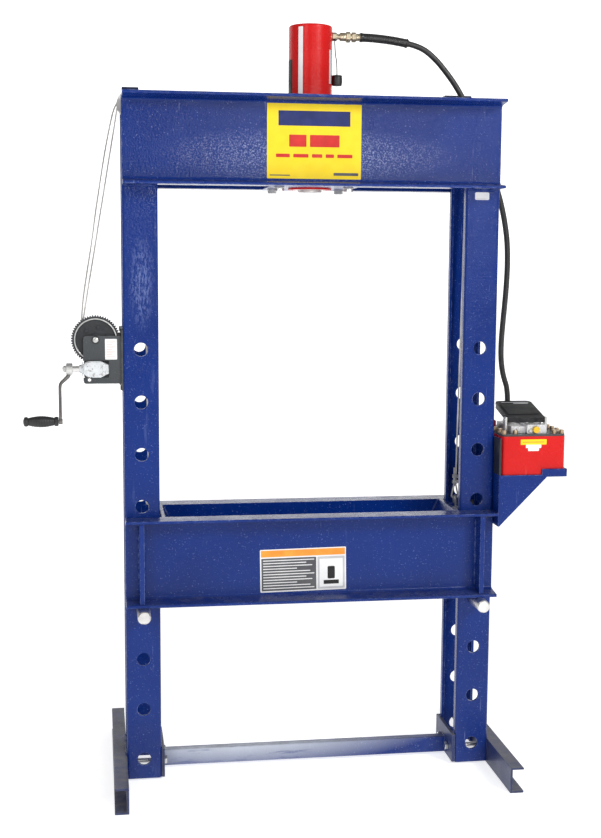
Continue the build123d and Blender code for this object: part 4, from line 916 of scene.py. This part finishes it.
# ---------------------------------------------------------------- winch
def winch():
    wheel = middle("worm_wheel")
    shaft = middle("worm_shaft")
    plate_face = -0.088
    worm_box(shaft)
    ends = Shape()
    for side in (-1, 1):
        out = (0, side, 0)
        lathe(ends, (wheel.x, side * 0.0881, wheel.z), out, washer(0.0081, 0.0112, 0.0014), 32)
        lathe(ends, (wheel.x, side * 0.0925, wheel.z), out,
              [(0, 0.0), (0, 0.0078), (0.0012, 0.0072), (0.0020, 0.0055), (0.0023, 0.0)], 32, 1)
    ends.piece("drum_axle_rings", ["gear", "zinc"], "frame", "zinc", 30)
    hub = Shape()
    y0 = low("worm_wheel", 1)
    lathe(hub, (wheel.x, y0 + 0.0005, wheel.z), FRONT,
          [(0, 0.0081), (0, 0.0165), (0.0015, 0.0165), (0.0022, 0.0155), (0.0022, 0.0081),
           (0, 0.0081)], 40)
    for k in range(6):
        angle = 2 * pi * k / 6 + 0.3
        screw = (wheel.x + 0.036 * cos(angle), y0 + 0.0052, wheel.z + 0.036 * sin(angle))
        hex_head(hub, screw, FRONT, 0.010, 0.0042)
    lathe(hub, (wheel.x, y0 + 0.0004, wheel.z), FRONT,
          [(0, 0.0572), (0, 0.0612), (0.0012, 0.0606), (0.0012, 0.0580), (0, 0.0572)], 96, 1)
    hub.piece("worm_wheel_screws", ["gear", "zinc"], "drum", "zinc", 30)
    tag = Shape()
    x0, x1, z0, z1 = RAM_X - 0.603, RAM_X - 0.5690, 1.2565, 1.3155
    film(tag, x0, x1, z0, z1, plate_face - 0.0001, 0, 0.002)
    for row in range(10):
        z = z1 - 0.007 - row * 0.0048
        film(tag, x0 + 0.004, x1 - 0.006 - 0.004 * (row % 3), z, z + 0.0014, plate_face - 0.00035,
             1, 0.0003)
    tag.piece("winch_label", ["white", "rose"], "frame", "black_paint", None)


def worm_box(shaft):
    """The worm's cast cover: raised rim, four screws, a spigot with locking ears and a rear boss."""
    box = Shape()
    front = low("worm_housing", 1)
    x0, _, z0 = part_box("worm_housing")[0]
    x1, _, z1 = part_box("worm_housing")[1]
    left, right, drop_z = 0.014, 0.022, 0.011
    outline = [(x0 + left, z0), (x1 - right, z0), (x1, z0 + drop_z), (x1, z1 - drop_z),
               (x1 - right, z1), (x0 + left, z1), (x0, z1 - drop_z), (x0, z0 + drop_z)]
    cx, cz = (x0 + x1) / 2, (z0 + z1) / 2
    half_x, half_z = (x1 - x0) / 2, (z1 - z0) / 2

    def ring(inset, y):
        return [(cx + (x - cx) * (1 - inset / half_x), y, cz + (z - cz) * (1 - inset / half_z))
                for x, z in outline]

    rows = [ring(0.0024, front), ring(0.0024, front - 0.0022), ring(0.0032, front - 0.0028),
            ring(0.0062, front - 0.0028), ring(0.0068, front - 0.0016)]
    faces = [(i * 8 + k, i * 8 + (k + 1) % 8, (i + 1) * 8 + (k + 1) % 8, (i + 1) * 8 + k)
             for i in range(len(rows) - 1) for k in range(8)]
    faces += [tuple(range(32, 40)), tuple(range(7, -1, -1))]
    box.add(sum(rows, []), faces)
    for dx in (-0.024, 0.022):
        for dz in (-0.0105, 0.0105):
            hex_head(box, (cx + dx, front - 0.0018, cz + dz), FRONT, 0.0065, 0.0030)
    spigot = [(0, 0.0160), (0.004, 0.0160), (0.005, 0.0140), (0.0052, 0.0125), (0.012, 0.0120),
              (0.0125, 0.0105)]
    turned(box, (x0, shaft.y, shaft.z), LEFT, spigot)
    turned(box, (x1, shaft.y, shaft.z), RIGHT, [(0, 0.0135), (0.0025, 0.0135), (0.0035, 0.0125)])
    for up in (-1, 1):
        for k in (-1, 0, 1):
            y, z = shaft.y + 0.006 * k, shaft.z + up * (0.0175 - 0.002 * abs(k))
            z_low, z_high = sorted((z - up * 0.004, z + up * 0.003))
            slab(box, (x0 - 0.0042, y - 0.002, z_low), (x0 - 0.0012, y + 0.002, z_high), 0, 0.0004)
    box.piece("worm_box_cover", "cast", "frame", "zinc", 30)


FILM_GAP = 0.0002  # from the paint to a film
LAYER = 0.00025  # from one printed layer to the next
FILM_THICK = 0.00022


def film(shape, x0, x1, z0, z1, y, mark, corner, lean=0.0):
    """A thin printed panel facing -Y with rounded corners; lean turns it about its middle."""
    cx, cz = (x0 + x1) / 2, (z0 + z1) / 2
    rim = []
    for qx, qz, start in ((x1, z1, 0), (x0, z1, 1), (x0, z0, 2), (x1, z0, 3)):
        ox = qx - corner if qx == x1 else qx + corner
        oz = qz - corner if qz == z1 else qz + corner
        for k in range(5):
            angle = (start + k / 4) * pi / 2
            rim.append((ox + corner * cos(angle), oz + corner * sin(angle)))
    rim = [(cx + (x - cx) * cos(lean) - (z - cz) * sin(lean),
            cz + (x - cx) * sin(lean) + (z - cz) * cos(lean))
           for x, z in rim]
    count = len(rim)
    points = [(x, y, z) for x, z in rim] + [(x, y - FILM_THICK, z) for x, z in rim]
    faces = [tuple(range(count)), tuple(range(2 * count - 1, count - 1, -1))]
    faces += [((k + 1) % count, k, k + count, (k + 1) % count + count) for k in range(count)]
    return shape.add(points, faces, mark)


winch()


def crank():
    shaft = middle("worm_shaft")
    hub_x = RAM_X - 0.705
    arm_x = RAM_X - 0.732
    y, z = shaft.y, shaft.z
    reach = z - middle("crank_grip").z
    shape = Shape()
    hub = [(0, 0.0052), (0, 0.0155), (0.0012, 0.017), (0.0168, 0.017), (0.018, 0.0158),
           (0.018, 0.0052)]
    lathe(shape, (hub_x + 0.009, y, z), LEFT, hub, 48)
    bends = ((hub_x, 0.010), (hub_x - 0.004, 0.021), (hub_x - 0.015, 0.032), (arm_x + 0.004, 0.040),
             (arm_x, 0.052), (arm_x, 0.09), (arm_x, reach + 0.006))
    route = [(x, y, z - down) for x, down in bends]
    pipe(shape, curve_points(route, 0.003), lambda share: 0.0062 - 0.0018 * min(1, share * 3), 20,
         1)
    turned(shape, (arm_x + 0.0060, y, z - reach), LEFT,
           [(0, 0.0072), (0.001, 0.0082), (0.0095, 0.0082), (0.0105, 0.0072)], 36, 1)
    hex_head(shape, (RAM_X - 0.714, y, z), LEFT, 0.017, 0.008)
    tip = low("crank_grip", 0)
    bar(shape, (arm_x, y, z - reach), LEFT, arm_x - tip + 0.001, 0.0099)
    turned(shape, (tip - 0.0003, y, z - reach), LEFT,
           [(0, 0.0075), (0.0012, 0.008), (0.0022, 0.007), (0.003, 0.004)], 32)
    shape.piece("crank_arm_bent", ["zinc", "crank_steel"], "crank", "black_paint", 40,
                ["crank_arm"])
    grip = Shape()
    length = high("crank_grip", 0) - tip
    radius = size("crank_grip", 2) / 2
    end_rows = ((0, 0.0055), (0.0015, 0.0035), (0.008, 0.003), (0.011, 0.0045), (0.0125, 0.0065))
    profile = [(0, 0.0051)] + [(x, radius - less) for x, less in end_rows]
    rings = 9
    start, end = 0.016, length - 0.016
    for k in range(rings * 6 + 1):
        share = k / (rings * 6)
        belly = radius - 0.0045 + 0.0042 * sin(pi * share)
        profile.append((start + (end - start) * share,
                        belly - 0.0007 * (0.5 - 0.5 * cos(2 * pi * rings * share))))
    profile += [(length - x, radius - less) for x, less in reversed(end_rows)] + [(length, 0.0051)]
    lathe(grip, (tip, y, z - reach), RIGHT, profile, 48)
    grip.piece("crank_grip_turned", "plastic", "grip", "black_plastic", 40, ["crank_grip"])


crank()


# ---------------------------------------------------------------- labels
def beam_label():
    """A yellow panel; plain bars stand in for everything that was printed on it."""
    y = BEAM_FACE_Y - FILM_GAP
    shape = Shape()
    x0, x1 = RAM_X - 0.140, RAM_X + 0.133
    z0, z1 = BEAM_Z0 + 0.022, BEAM_Z0 + 0.233
    film(shape, x0, x1, z0, z1, y, 0, 0.002)
    centre = (x0 + x1) / 2
    film(shape, centre - 0.104, centre + 0.104, z1 - 0.062, z1 - 0.020, y - LAYER, 2, 0.001)
    rows = ((0.104, 0.034, (0.050, 0.086)), (0.146, 0.010, (0.040, 0.044, 0.030, 0.024, 0.044)))
    for drop_z, height, words in rows:
        x = centre - (sum(words) + 0.010 * (len(words) - 1)) / 2
        for word in words:
            film(shape, x, x + word, z1 - drop_z - height / 2, z1 - drop_z + height / 2, y - LAYER,
                 1, 0.002)
            x += word + 0.010
    film(shape, x1 - 0.080, x1 - 0.008, z0 + 0.010, z0 + 0.018, y - LAYER, 3, 0.0012)
    film(shape, x0 + 0.008, x0 + 0.066, z0 + 0.008, z0 + 0.011, y - LAYER, 3, 0.0008)
    shape.piece("beam_label", ["yellow", "print_red", "print_blue", "print_grey"], "frame",
                "blue_paint")


def bed_label():
    y = BED_FACE_Y - FILM_GAP
    lean = radians(0.9)
    x0, x1 = RAM_X - 0.157, RAM_X + 0.101
    z0, z1 = BED_Z0 + 0.023, BED_Z0 + 0.152
    cx, cz = (x0 + x1) / 2, (z0 + z1) / 2
    shape = Shape()

    def panel(ax, bx, az, bz, layer, mark, corner=0.0005):
        """A panel inside the label, turned with it about the label's middle."""
        mx, mz = (ax + bx) / 2 - cx, (az + bz) / 2 - cz
        px, pz = cx + mx * cos(lean) - mz * sin(lean), cz + mx * sin(lean) + mz * cos(lean)
        hx, hz = (bx - ax) / 2, (bz - az) / 2
        film(shape, px - hx, px + hx, pz - hz, pz + hz, y - LAYER * layer, mark, corner, lean)

    panel(x0, x1, z0, z1, 0, 0, 0.003)
    panel(x0 + 0.003, x1 - 0.003, z1 - 0.023, z1 - 0.003, 1, 1, 0.001)
    split = x0 + 0.172
    panel(x0 + 0.004, split - 0.004, z0 + 0.004, z1 - 0.027, 1, 2, 0.001)
    for row in range(11):
        z = z1 - 0.0325 - row * 0.0084
        short = (0.0, 0.024, 0.006, 0.052, 0.012)[row % 5]
        panel(x0 + 0.009, split - 0.010 - short, z - 0.0026, z, 2, 0)
    panel(split, x1 - 0.004, z0 + 0.004, z1 - 0.027, 1, 3, 0.002)
    panel(split + 0.006, x1 - 0.010, z0 + 0.010, z1 - 0.034, 2, 0, 0.002)
    panel(split + 0.018, x1 - 0.022, z0 + 0.018, z0 + 0.030, 3, 4, 0.001)
    panel(split + 0.030, x1 - 0.034, z0 + 0.034, z0 + 0.072, 3, 4, 0.004)
    shape.piece("bed_label", ["white", "orange", "print_grey", "pale_grey", "print_black"], "bed",
                "blue_paint")


def small_labels():
    shape = Shape()
    film(shape, RAM_X + 0.4765, RAM_X + 0.5194, 1.721, 1.743, -POST_FACE_Y - FILM_GAP, 0, 0.004)
    film(shape, RAM_X + 0.4800, RAM_X + 0.5159, 1.7235, 1.7248, -POST_FACE_Y - FILM_GAP - LAYER, 1,
         0.0005)
    shape.piece("post_label", ["white", "pale_grey"], "frame", "blue_paint")
    tank = Shape()
    y = low("pump_tank", 1) - 0.0001
    for x0, x1, z0, z1, layer, mark, corner in (
            (0.618, 0.698, 1.000, 1.016, 0, 0, 0.001), (0.634, 0.682, 0.990, 1.000, 0, 1, 0.002),
            (0.641, 0.675, 0.981, 0.992, 1, 1, 0.002), (0.624, 0.690, 1.0065, 1.009, 1, 2, 0.0006),
            (0.645, 0.671, 0.9850, 0.9865, 2, 3, 0.0003)):
        film(tank, RAM_X + x0, RAM_X + x1, z0, z1, y - LAYER * layer, mark, corner)
    tank.piece("tank_label", ["yellow", "white", "orange", "pale_grey"], "frame", "red_paint")
    # Painted shade: a thin black sheet over the bracket's left face and the edge of its front,
    # between the post and the tank.
    shade_sheet = Shape()
    edge_x = low("pump_bracket", 0)
    slab(shade_sheet, (edge_x - 0.0006, low("pump_bracket", 1) + 0.001, low("pump_tank", 2) + 0.001),
         (edge_x - 0.00005, -POST_FACE_Y - 0.0015, high("pump_bracket", 2) - 0.001), 0, 0.0002)
    slab(shade_sheet, (edge_x - 0.0006, low("pump_bracket", 1) - 0.0006, low("pump_tank", 2) + 0.001),
         (edge_x + 0.006, low("pump_bracket", 1) - 0.00005, high("pump_bracket", 2) - 0.001), 0,
         0.0002)
    shade_sheet.piece("bracket_painted_shade_sheet", "rubber", "frame", "blue_paint")
    wrap = Shape()
    radius = size("cylinder_barrel", 0) / 2
    top = high("cylinder_barrel", 2)
    curved_film(wrap, radius, -42.0, -29.0, BEAM_Z0 + 0.075, top - 0.009, 0)
    curved_film(wrap, radius, -100.0, -64.0, BEAM_Z0 + 0.10, top - 0.098, 1)
    curved_film(wrap, radius, 50.0, 62.0, BEAM_Z1 + 0.045, top - 0.070, 2)
    wrap.piece("cylinder_stripes", ["white", "print_black", "pale_grey"], "frame", "red_paint", 40)


def curved_film(shape, radius, first, last, z0, z1, mark):
    """A film wrapped round the cylinder; angles in degrees from its front, positive to the right."""
    a0, a1 = radians(first), radians(last)
    count = max(4, int((a1 - a0) / 0.035))
    points = []
    for skin in (radius + 0.00005, radius + 0.0003):
        for z in (z0, z1):
            for k in range(count + 1):
                angle = a0 + (a1 - a0) * k / count
                points.append(at(skin * sin(angle), -skin * cos(angle), z))
    n = count + 1
    faces = []
    for k in range(count):
        faces.append((k, k + 1, n + k + 1, n + k)[::-1])
        faces.append((2 * n + k, 2 * n + k + 1, 3 * n + k + 1, 3 * n + k))
        faces.append((k, k + 1, 2 * n + k + 1, 2 * n + k))
        faces.append((n + k, n + k + 1, 3 * n + k + 1, 3 * n + k)[::-1])
    faces += [(0, n, 3 * n, 2 * n), (count, n + count, 3 * n + count, 2 * n + count)[::-1]]
    return shape.add(points, faces, mark)


beam_label()
bed_label()
small_labels()


# ---------------------------------------------------------------- welds
def welds():
    shape = Shape()
    for side in (-1, 1):
        x_in, x_out = side * (POST_IN_R - RAM_X), side * (POST_OUT_R - RAM_X)
        for facing, y in ((FRONT, -POST_FACE_Y), (REAR, POST_FACE_Y)):
            weld(shape, at(x_in + side * 0.004, y, BEAM_Z0), at(x_out - side * 0.004, y, BEAM_Z0),
                 DOWN, facing, 0.006)
        top = high("feet", 2)
        weld(shape, at(x_out, -POST_FACE_Y + 0.006, top), at(x_out, POST_FACE_Y - 0.006, top), UP,
             (side, 0, 0), 0.0055)
        for facing, y in ((FRONT, -POST_FACE_Y + 0.006), (REAR, POST_FACE_Y - 0.006)):
            weld(shape, at(x_out, y, 0.010), at(x_out, y, top - 0.002), facing, (-side, 0, 0),
                 0.0055)
        plate_x = side * (POST_IN_R - RAM_X - 0.010)
        half = size("bottom_brace", 1) / 2
        z0, z1 = low("bottom_brace", 2), high("bottom_brace", 2)
        weld(shape, at(plate_x, -half + 0.002, z1), at(plate_x, half - 0.002, z1), UP,
             (-side, 0, 0), 0.0045)
        for facing, y in ((FRONT, -half), (REAR, half)):
            weld(shape, at(plate_x, y, z0 + 0.003), at(plate_x, y, z1 - 0.003), facing,
                 (-side, 0, 0), 0.0045)
        plate_top = high("brace_end_plates", 2)
        inner_x = side * (POST_IN_R - RAM_X)
        for y0, y1 in ((-POST_FACE_Y + 0.008, -POST_FACE_Y + 0.03),
                       (POST_FACE_Y - 0.03, POST_FACE_Y - 0.008)):
            weld(shape, at(inner_x, y0, plate_top), at(inner_x, y1, plate_top), UP, (-side, 0, 0),
                 0.0045)
    for sign in (-1, 1):
        y = sign * POST_FACE_Y
        half = size("head_plate", 0) / 2
        weld(shape, at(-half, y, high("head_plate", 2)), at(half, y, high("head_plate", 2)), UP,
             (0, -sign, 0), 0.006)
    shape.piece("frame_welds", "blue", "frame", "blue_paint", 50)
    bed = Shape()
    for side in (-1, 1):
        for sign in (-1, 1):
            web = sign * (high("bed_end_ties", 1) + WEB)
            for x, facing in ((side * 0.498, (-side, 0, 0)), (side * 0.512, (side, 0, 0))):
                weld(bed, at(x, web, BED_Z0 + 0.026), at(x, web, BED_Z1 - 0.026), facing,
                     (0, sign, 0), 0.005)
        tie_x = side * 0.446
        for sign in (-1, 1):
            y = sign * high("bed_end_ties", 1)
            weld(bed, at(tie_x - side * 0.013, y, BED_Z1 - 0.001),
                 at(tie_x - side * 0.047, y, BED_Z1 - 0.071),
                 (-side * 0.9, 0, 0.44), (0, -sign, 0), 0.005)
    bed.piece("bed_welds", "blue", "bed", "blue_paint", 50)
    bracket = Shape()
    x = POST_OUT_R + 0.005
    tray = low("pump_tank", 2) - 0.006
    for y, facing in ((low("pump_bracket", 1) + 0.005, REAR),
                      (high("pump_bracket", 1) - 0.005, FRONT)):
        weld(bracket, (x, y, tray - 0.140), (x, y, tray - 0.004), facing, (1, 0, 0), 0.0035)
        weld(bracket, (x + 0.004, y, tray), (x + 0.138, y, tray), facing, DOWN, 0.0035)
    bracket.piece("bracket_welds", "blue", "frame", "blue_paint", 50)


welds()


# ---------------------------------------------------------------- pump
def pump():
    top = high("pump_top_plate", 2)
    x0, y0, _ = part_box("pump_top_plate")[0]
    x1, y1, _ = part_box("pump_top_plate")[1]
    screws = Shape()
    rows = [y0 - 0.001 + 0.012 + row * (y1 - y0 + 0.002 - 0.024) / 5 for row in range(6)]
    places = [(x, y) for x in (x0 - 0.001 + 0.010, x1 + 0.001 - 0.010) for y in rows]
    places += [(RAM_X + 0.604, rows[0]), (RAM_X + 0.724, rows[0])]
    for x, y in places:
        lathe(screws, (x, y, top), UP, washer(0.003, 0.008, 0.0030), 28)
        hex_head(screws, (x, y, top + 0.0030), UP, 0.013, 0.0090)
    screws.piece("cover_screws_turned", "bronzed", "frame", "zinc", 30, ["pump_cover_screws"])
    plugs = Shape()
    fittings = (((0.672, -0.135, 1.052), FRONT, 0.009), ((0.652, -0.135, 1.040), FRONT, 0.011),
                ((0.702, -0.100, 1.046), RIGHT, 0.012), ((0.690, -0.120, 1.058), UP, 0.010),
                ((0.655, -0.090, 1.058), UP, 0.012), ((0.620, -0.118, 1.041), FRONT, 0.012),
                ((0.598, -0.060, 1.041), LEFT, 0.011), ((0.598, -0.010, 1.041), LEFT, 0.009))
    for place, axis, flats in fittings:
        hex_head(plugs, at(*place), axis, flats, 0.0055)
    turned(plugs, at(0.667, -0.1352, 1.044), REAR, [(-0.003, 0.0115), (0.0006, 0.0125)], 36)
    plugs.piece("manifold_plugs", "zinc", "frame", "zinc", 30)
    knob = Shape()
    place = middle("relief_valve_knob")
    front = low("relief_valve_knob", 1)
    knurled(knob, (place.x, front + 0.012, place.z), FRONT, 0.0105, 0.0105, 8, 40, 0.0008)
    turned(knob, (place.x, front + 0.0016, place.z), FRONT,
           [(0, 0.0098), (0.0010, 0.0088), (0.0016, 0.0075)])
    turned(knob, (place.x, front + 0.012, place.z), REAR, [(0, 0.005), (0.0025, 0.005)], 30)
    knob.piece("relief_knob_ribbed", "yellow_plastic", "relief_knob", "yellow_plastic", 35,
               ["relief_valve_knob"])
    cap = Shape()
    spot = middle("filler_cap")
    turned(cap, (spot.x, spot.y, top), UP, [(0, 0.0082), (0.002, 0.0082), (0.0022, 0.005),
                                            (0.0085, 0.005)], 32)
    knurled(cap, (spot.x, spot.y, top + 0.0082), UP, 0.0145, 0.0072, 8, 28, 0.0006)
    turned(cap, (spot.x, spot.y, top + 0.0225), UP, [(0, 0.0066), (0.002, 0.0058), (0.0035, 0.003)],
           32)
    cap.piece("filler_cap_ribbed", "red_plastic", "frame", "red_plastic", 35, ["filler_cap"])
    motor = Shape()
    body = middle("air_motor")
    r, length = size("air_motor", 0) / 2, size("air_motor", 1)
    profile = [(0, r - 0.002), (0.002, r), *grooves(11, 0.010, 0.0095, 0.0008, 0.0042, r, 0.0032)]
    profile += [(length - 0.024, r), (length - 0.022, r - 0.001), (length - 0.002, r - 0.001),
                (length, r - 0.003), (length, 0.0062), (length - 0.012, 0.0057)]
    turned(motor, (body.x, low("air_motor", 1), body.z), REAR, profile, 48)
    motor.piece("air_motor_finned", "alloy", "frame", "aluminium", 35, ["air_motor"])
    outlet = Shape()
    place = middle("pump_outlet_fitting")
    z0 = low("pump_outlet_fitting", 2)
    lathe(outlet, (place.x, place.y, z0), UP, [(0, 0.0), (0, 0.0098), (0.010, 0.0098),
                                               (0.011, 0.0085), (0.0115, 0.0)], 36)
    hex_head(outlet, (place.x, place.y, z0 + 0.011), UP, 0.025, 0.0145)
    crimp = grooves(3, 0.002, 0.005, 0.0008, 0.003, 0.0100, 0.0008)
    turned(outlet, (place.x, place.y, z0 + 0.0253), UP, [(0, 0.0098), *crimp, (0.0190, 0.0098),
                                                         (0.0195, 0.0074)], 36)
    outlet.piece("pump_outlet_crimped", "brass", "frame", "brass", 35, ["pump_outlet_fitting"])
    treadle_pad()


def treadle_pad():
    """Rubber ribs across the treadle's upper face, tilted with it."""
    hinge = Vector(joint("treadle_press")["pos_m"])
    slope = Matrix.Rotation(radians(13.5), 3, "X")
    x0, x1 = low("treadle", 0) + 0.008, high("treadle", 0) - 0.008
    local = Shape()
    for row in range(8):
        y = 0.020 + row * 0.0110
        slab(local, (x0, y, 0.0098), (x1, y + 0.0060, 0.0128), 0, 0.0012)
    slab(local, (x0 + 0.008, 0.1175, 0.0098), (x1 - 0.004, 0.1210, 0.0124), 1, 0.0006)
    slab(local, (x0 + 0.044, 0.1105, 0.0098), (x1 - 0.008, 0.1140, 0.0124), 1, 0.0006)
    shape = Shape()
    tilted = [hinge + slope @ Vector(p) - Vector((hinge.x, 0, 0)) for p in local.points]
    shape.add(tilted, local.faces)
    shape.marks = list(local.marks)
    shape.piece("treadle_ribs", ["ribbed", "worn_rib"], "treadle_body", "black_paint", None)


pump()


# ---------------------------------------------------------------- floor and light
FLOOR_GLOW, WALL_GLOW = 0.64, 0.75
SKY = 0.35


def studio():
    """A pale floor that rises to a wall behind the press, two strobes and two soft lamps."""
    p = Paint("floor_paper")
    tone = p.mix(p.span(p.noise(2.0, 3), 0.3, 0.7), (0.87, 0.87, 0.87), (0.90, 0.90, 0.90))
    glow = p.span(p.vector("LENGTH", "Value", p.coords), 3.0, 7.0, FLOOR_GLOW, WALL_GLOW)
    paper = p.finish(Base_Color=tone, Roughness=0.8, Emission_Color=(1.0, 1.0, 1.0),
                     Emission_Strength=glow, Specular_IOR_Level=0.1)
    half_width, depth, rise, bend = 20.0, 14.0, 7.0, 2.0
    rows = [(-16.0, 0.0), (depth - bend, 0.0)]
    rows += [(depth - bend + bend * sin(t * pi / 20), bend - bend * cos(t * pi / 20))
             for t in range(1, 11)]
    rows.append((depth, rise))
    points = [(x, y, z) for y, z in rows for x in (-half_width, half_width)]
    faces = [(2 * i, 2 * i + 1, 2 * i + 3, 2 * i + 2) for i in range(len(rows) - 1)]
    mesh = bpy.data.meshes.new("studio_floor")
    mesh.from_pydata(points, [], faces)
    mesh.materials.append(paper)
    floor = bpy.data.objects.new("studio_floor", mesh)
    bpy.context.scene.collection.objects.link(floor)
    world = bpy.data.worlds.new("studio")
    bpy.context.scene.world = world
    world.use_nodes = True
    background = world.node_tree.nodes["Background"]
    background.inputs["Color"].default_value = (1, 1, 1, 1)
    background.inputs["Strength"].default_value = SKY
    for name, x in (("strobe_left", 0.19), ("strobe_right", 1.29)):
        lamp(name, at(x, -3.95, 2.04), at(0, 0, 1.2), 0.24, 13)
    lamp("key", at(3.2, -4.2, 4.2), at(0, 0, 1.0), 1.6, 150)
    lamp("fill", at(-3.0, -4.4, 4.0), at(0, 0, 1.0), 1.6, 60)
    bpy.context.scene.view_settings.view_transform = "Standard"


def lamp(name, place, target, side, power):
    data = bpy.data.lights.new(name, "AREA")
    data.shape = "SQUARE"
    data.size = side
    data.energy = power
    made = bpy.data.objects.new(name, data)
    made.location = place
    made.rotation_euler = (target - place).to_track_quat("-Z", "Y").to_euler()
    bpy.context.scene.collection.objects.link(made)


studio()
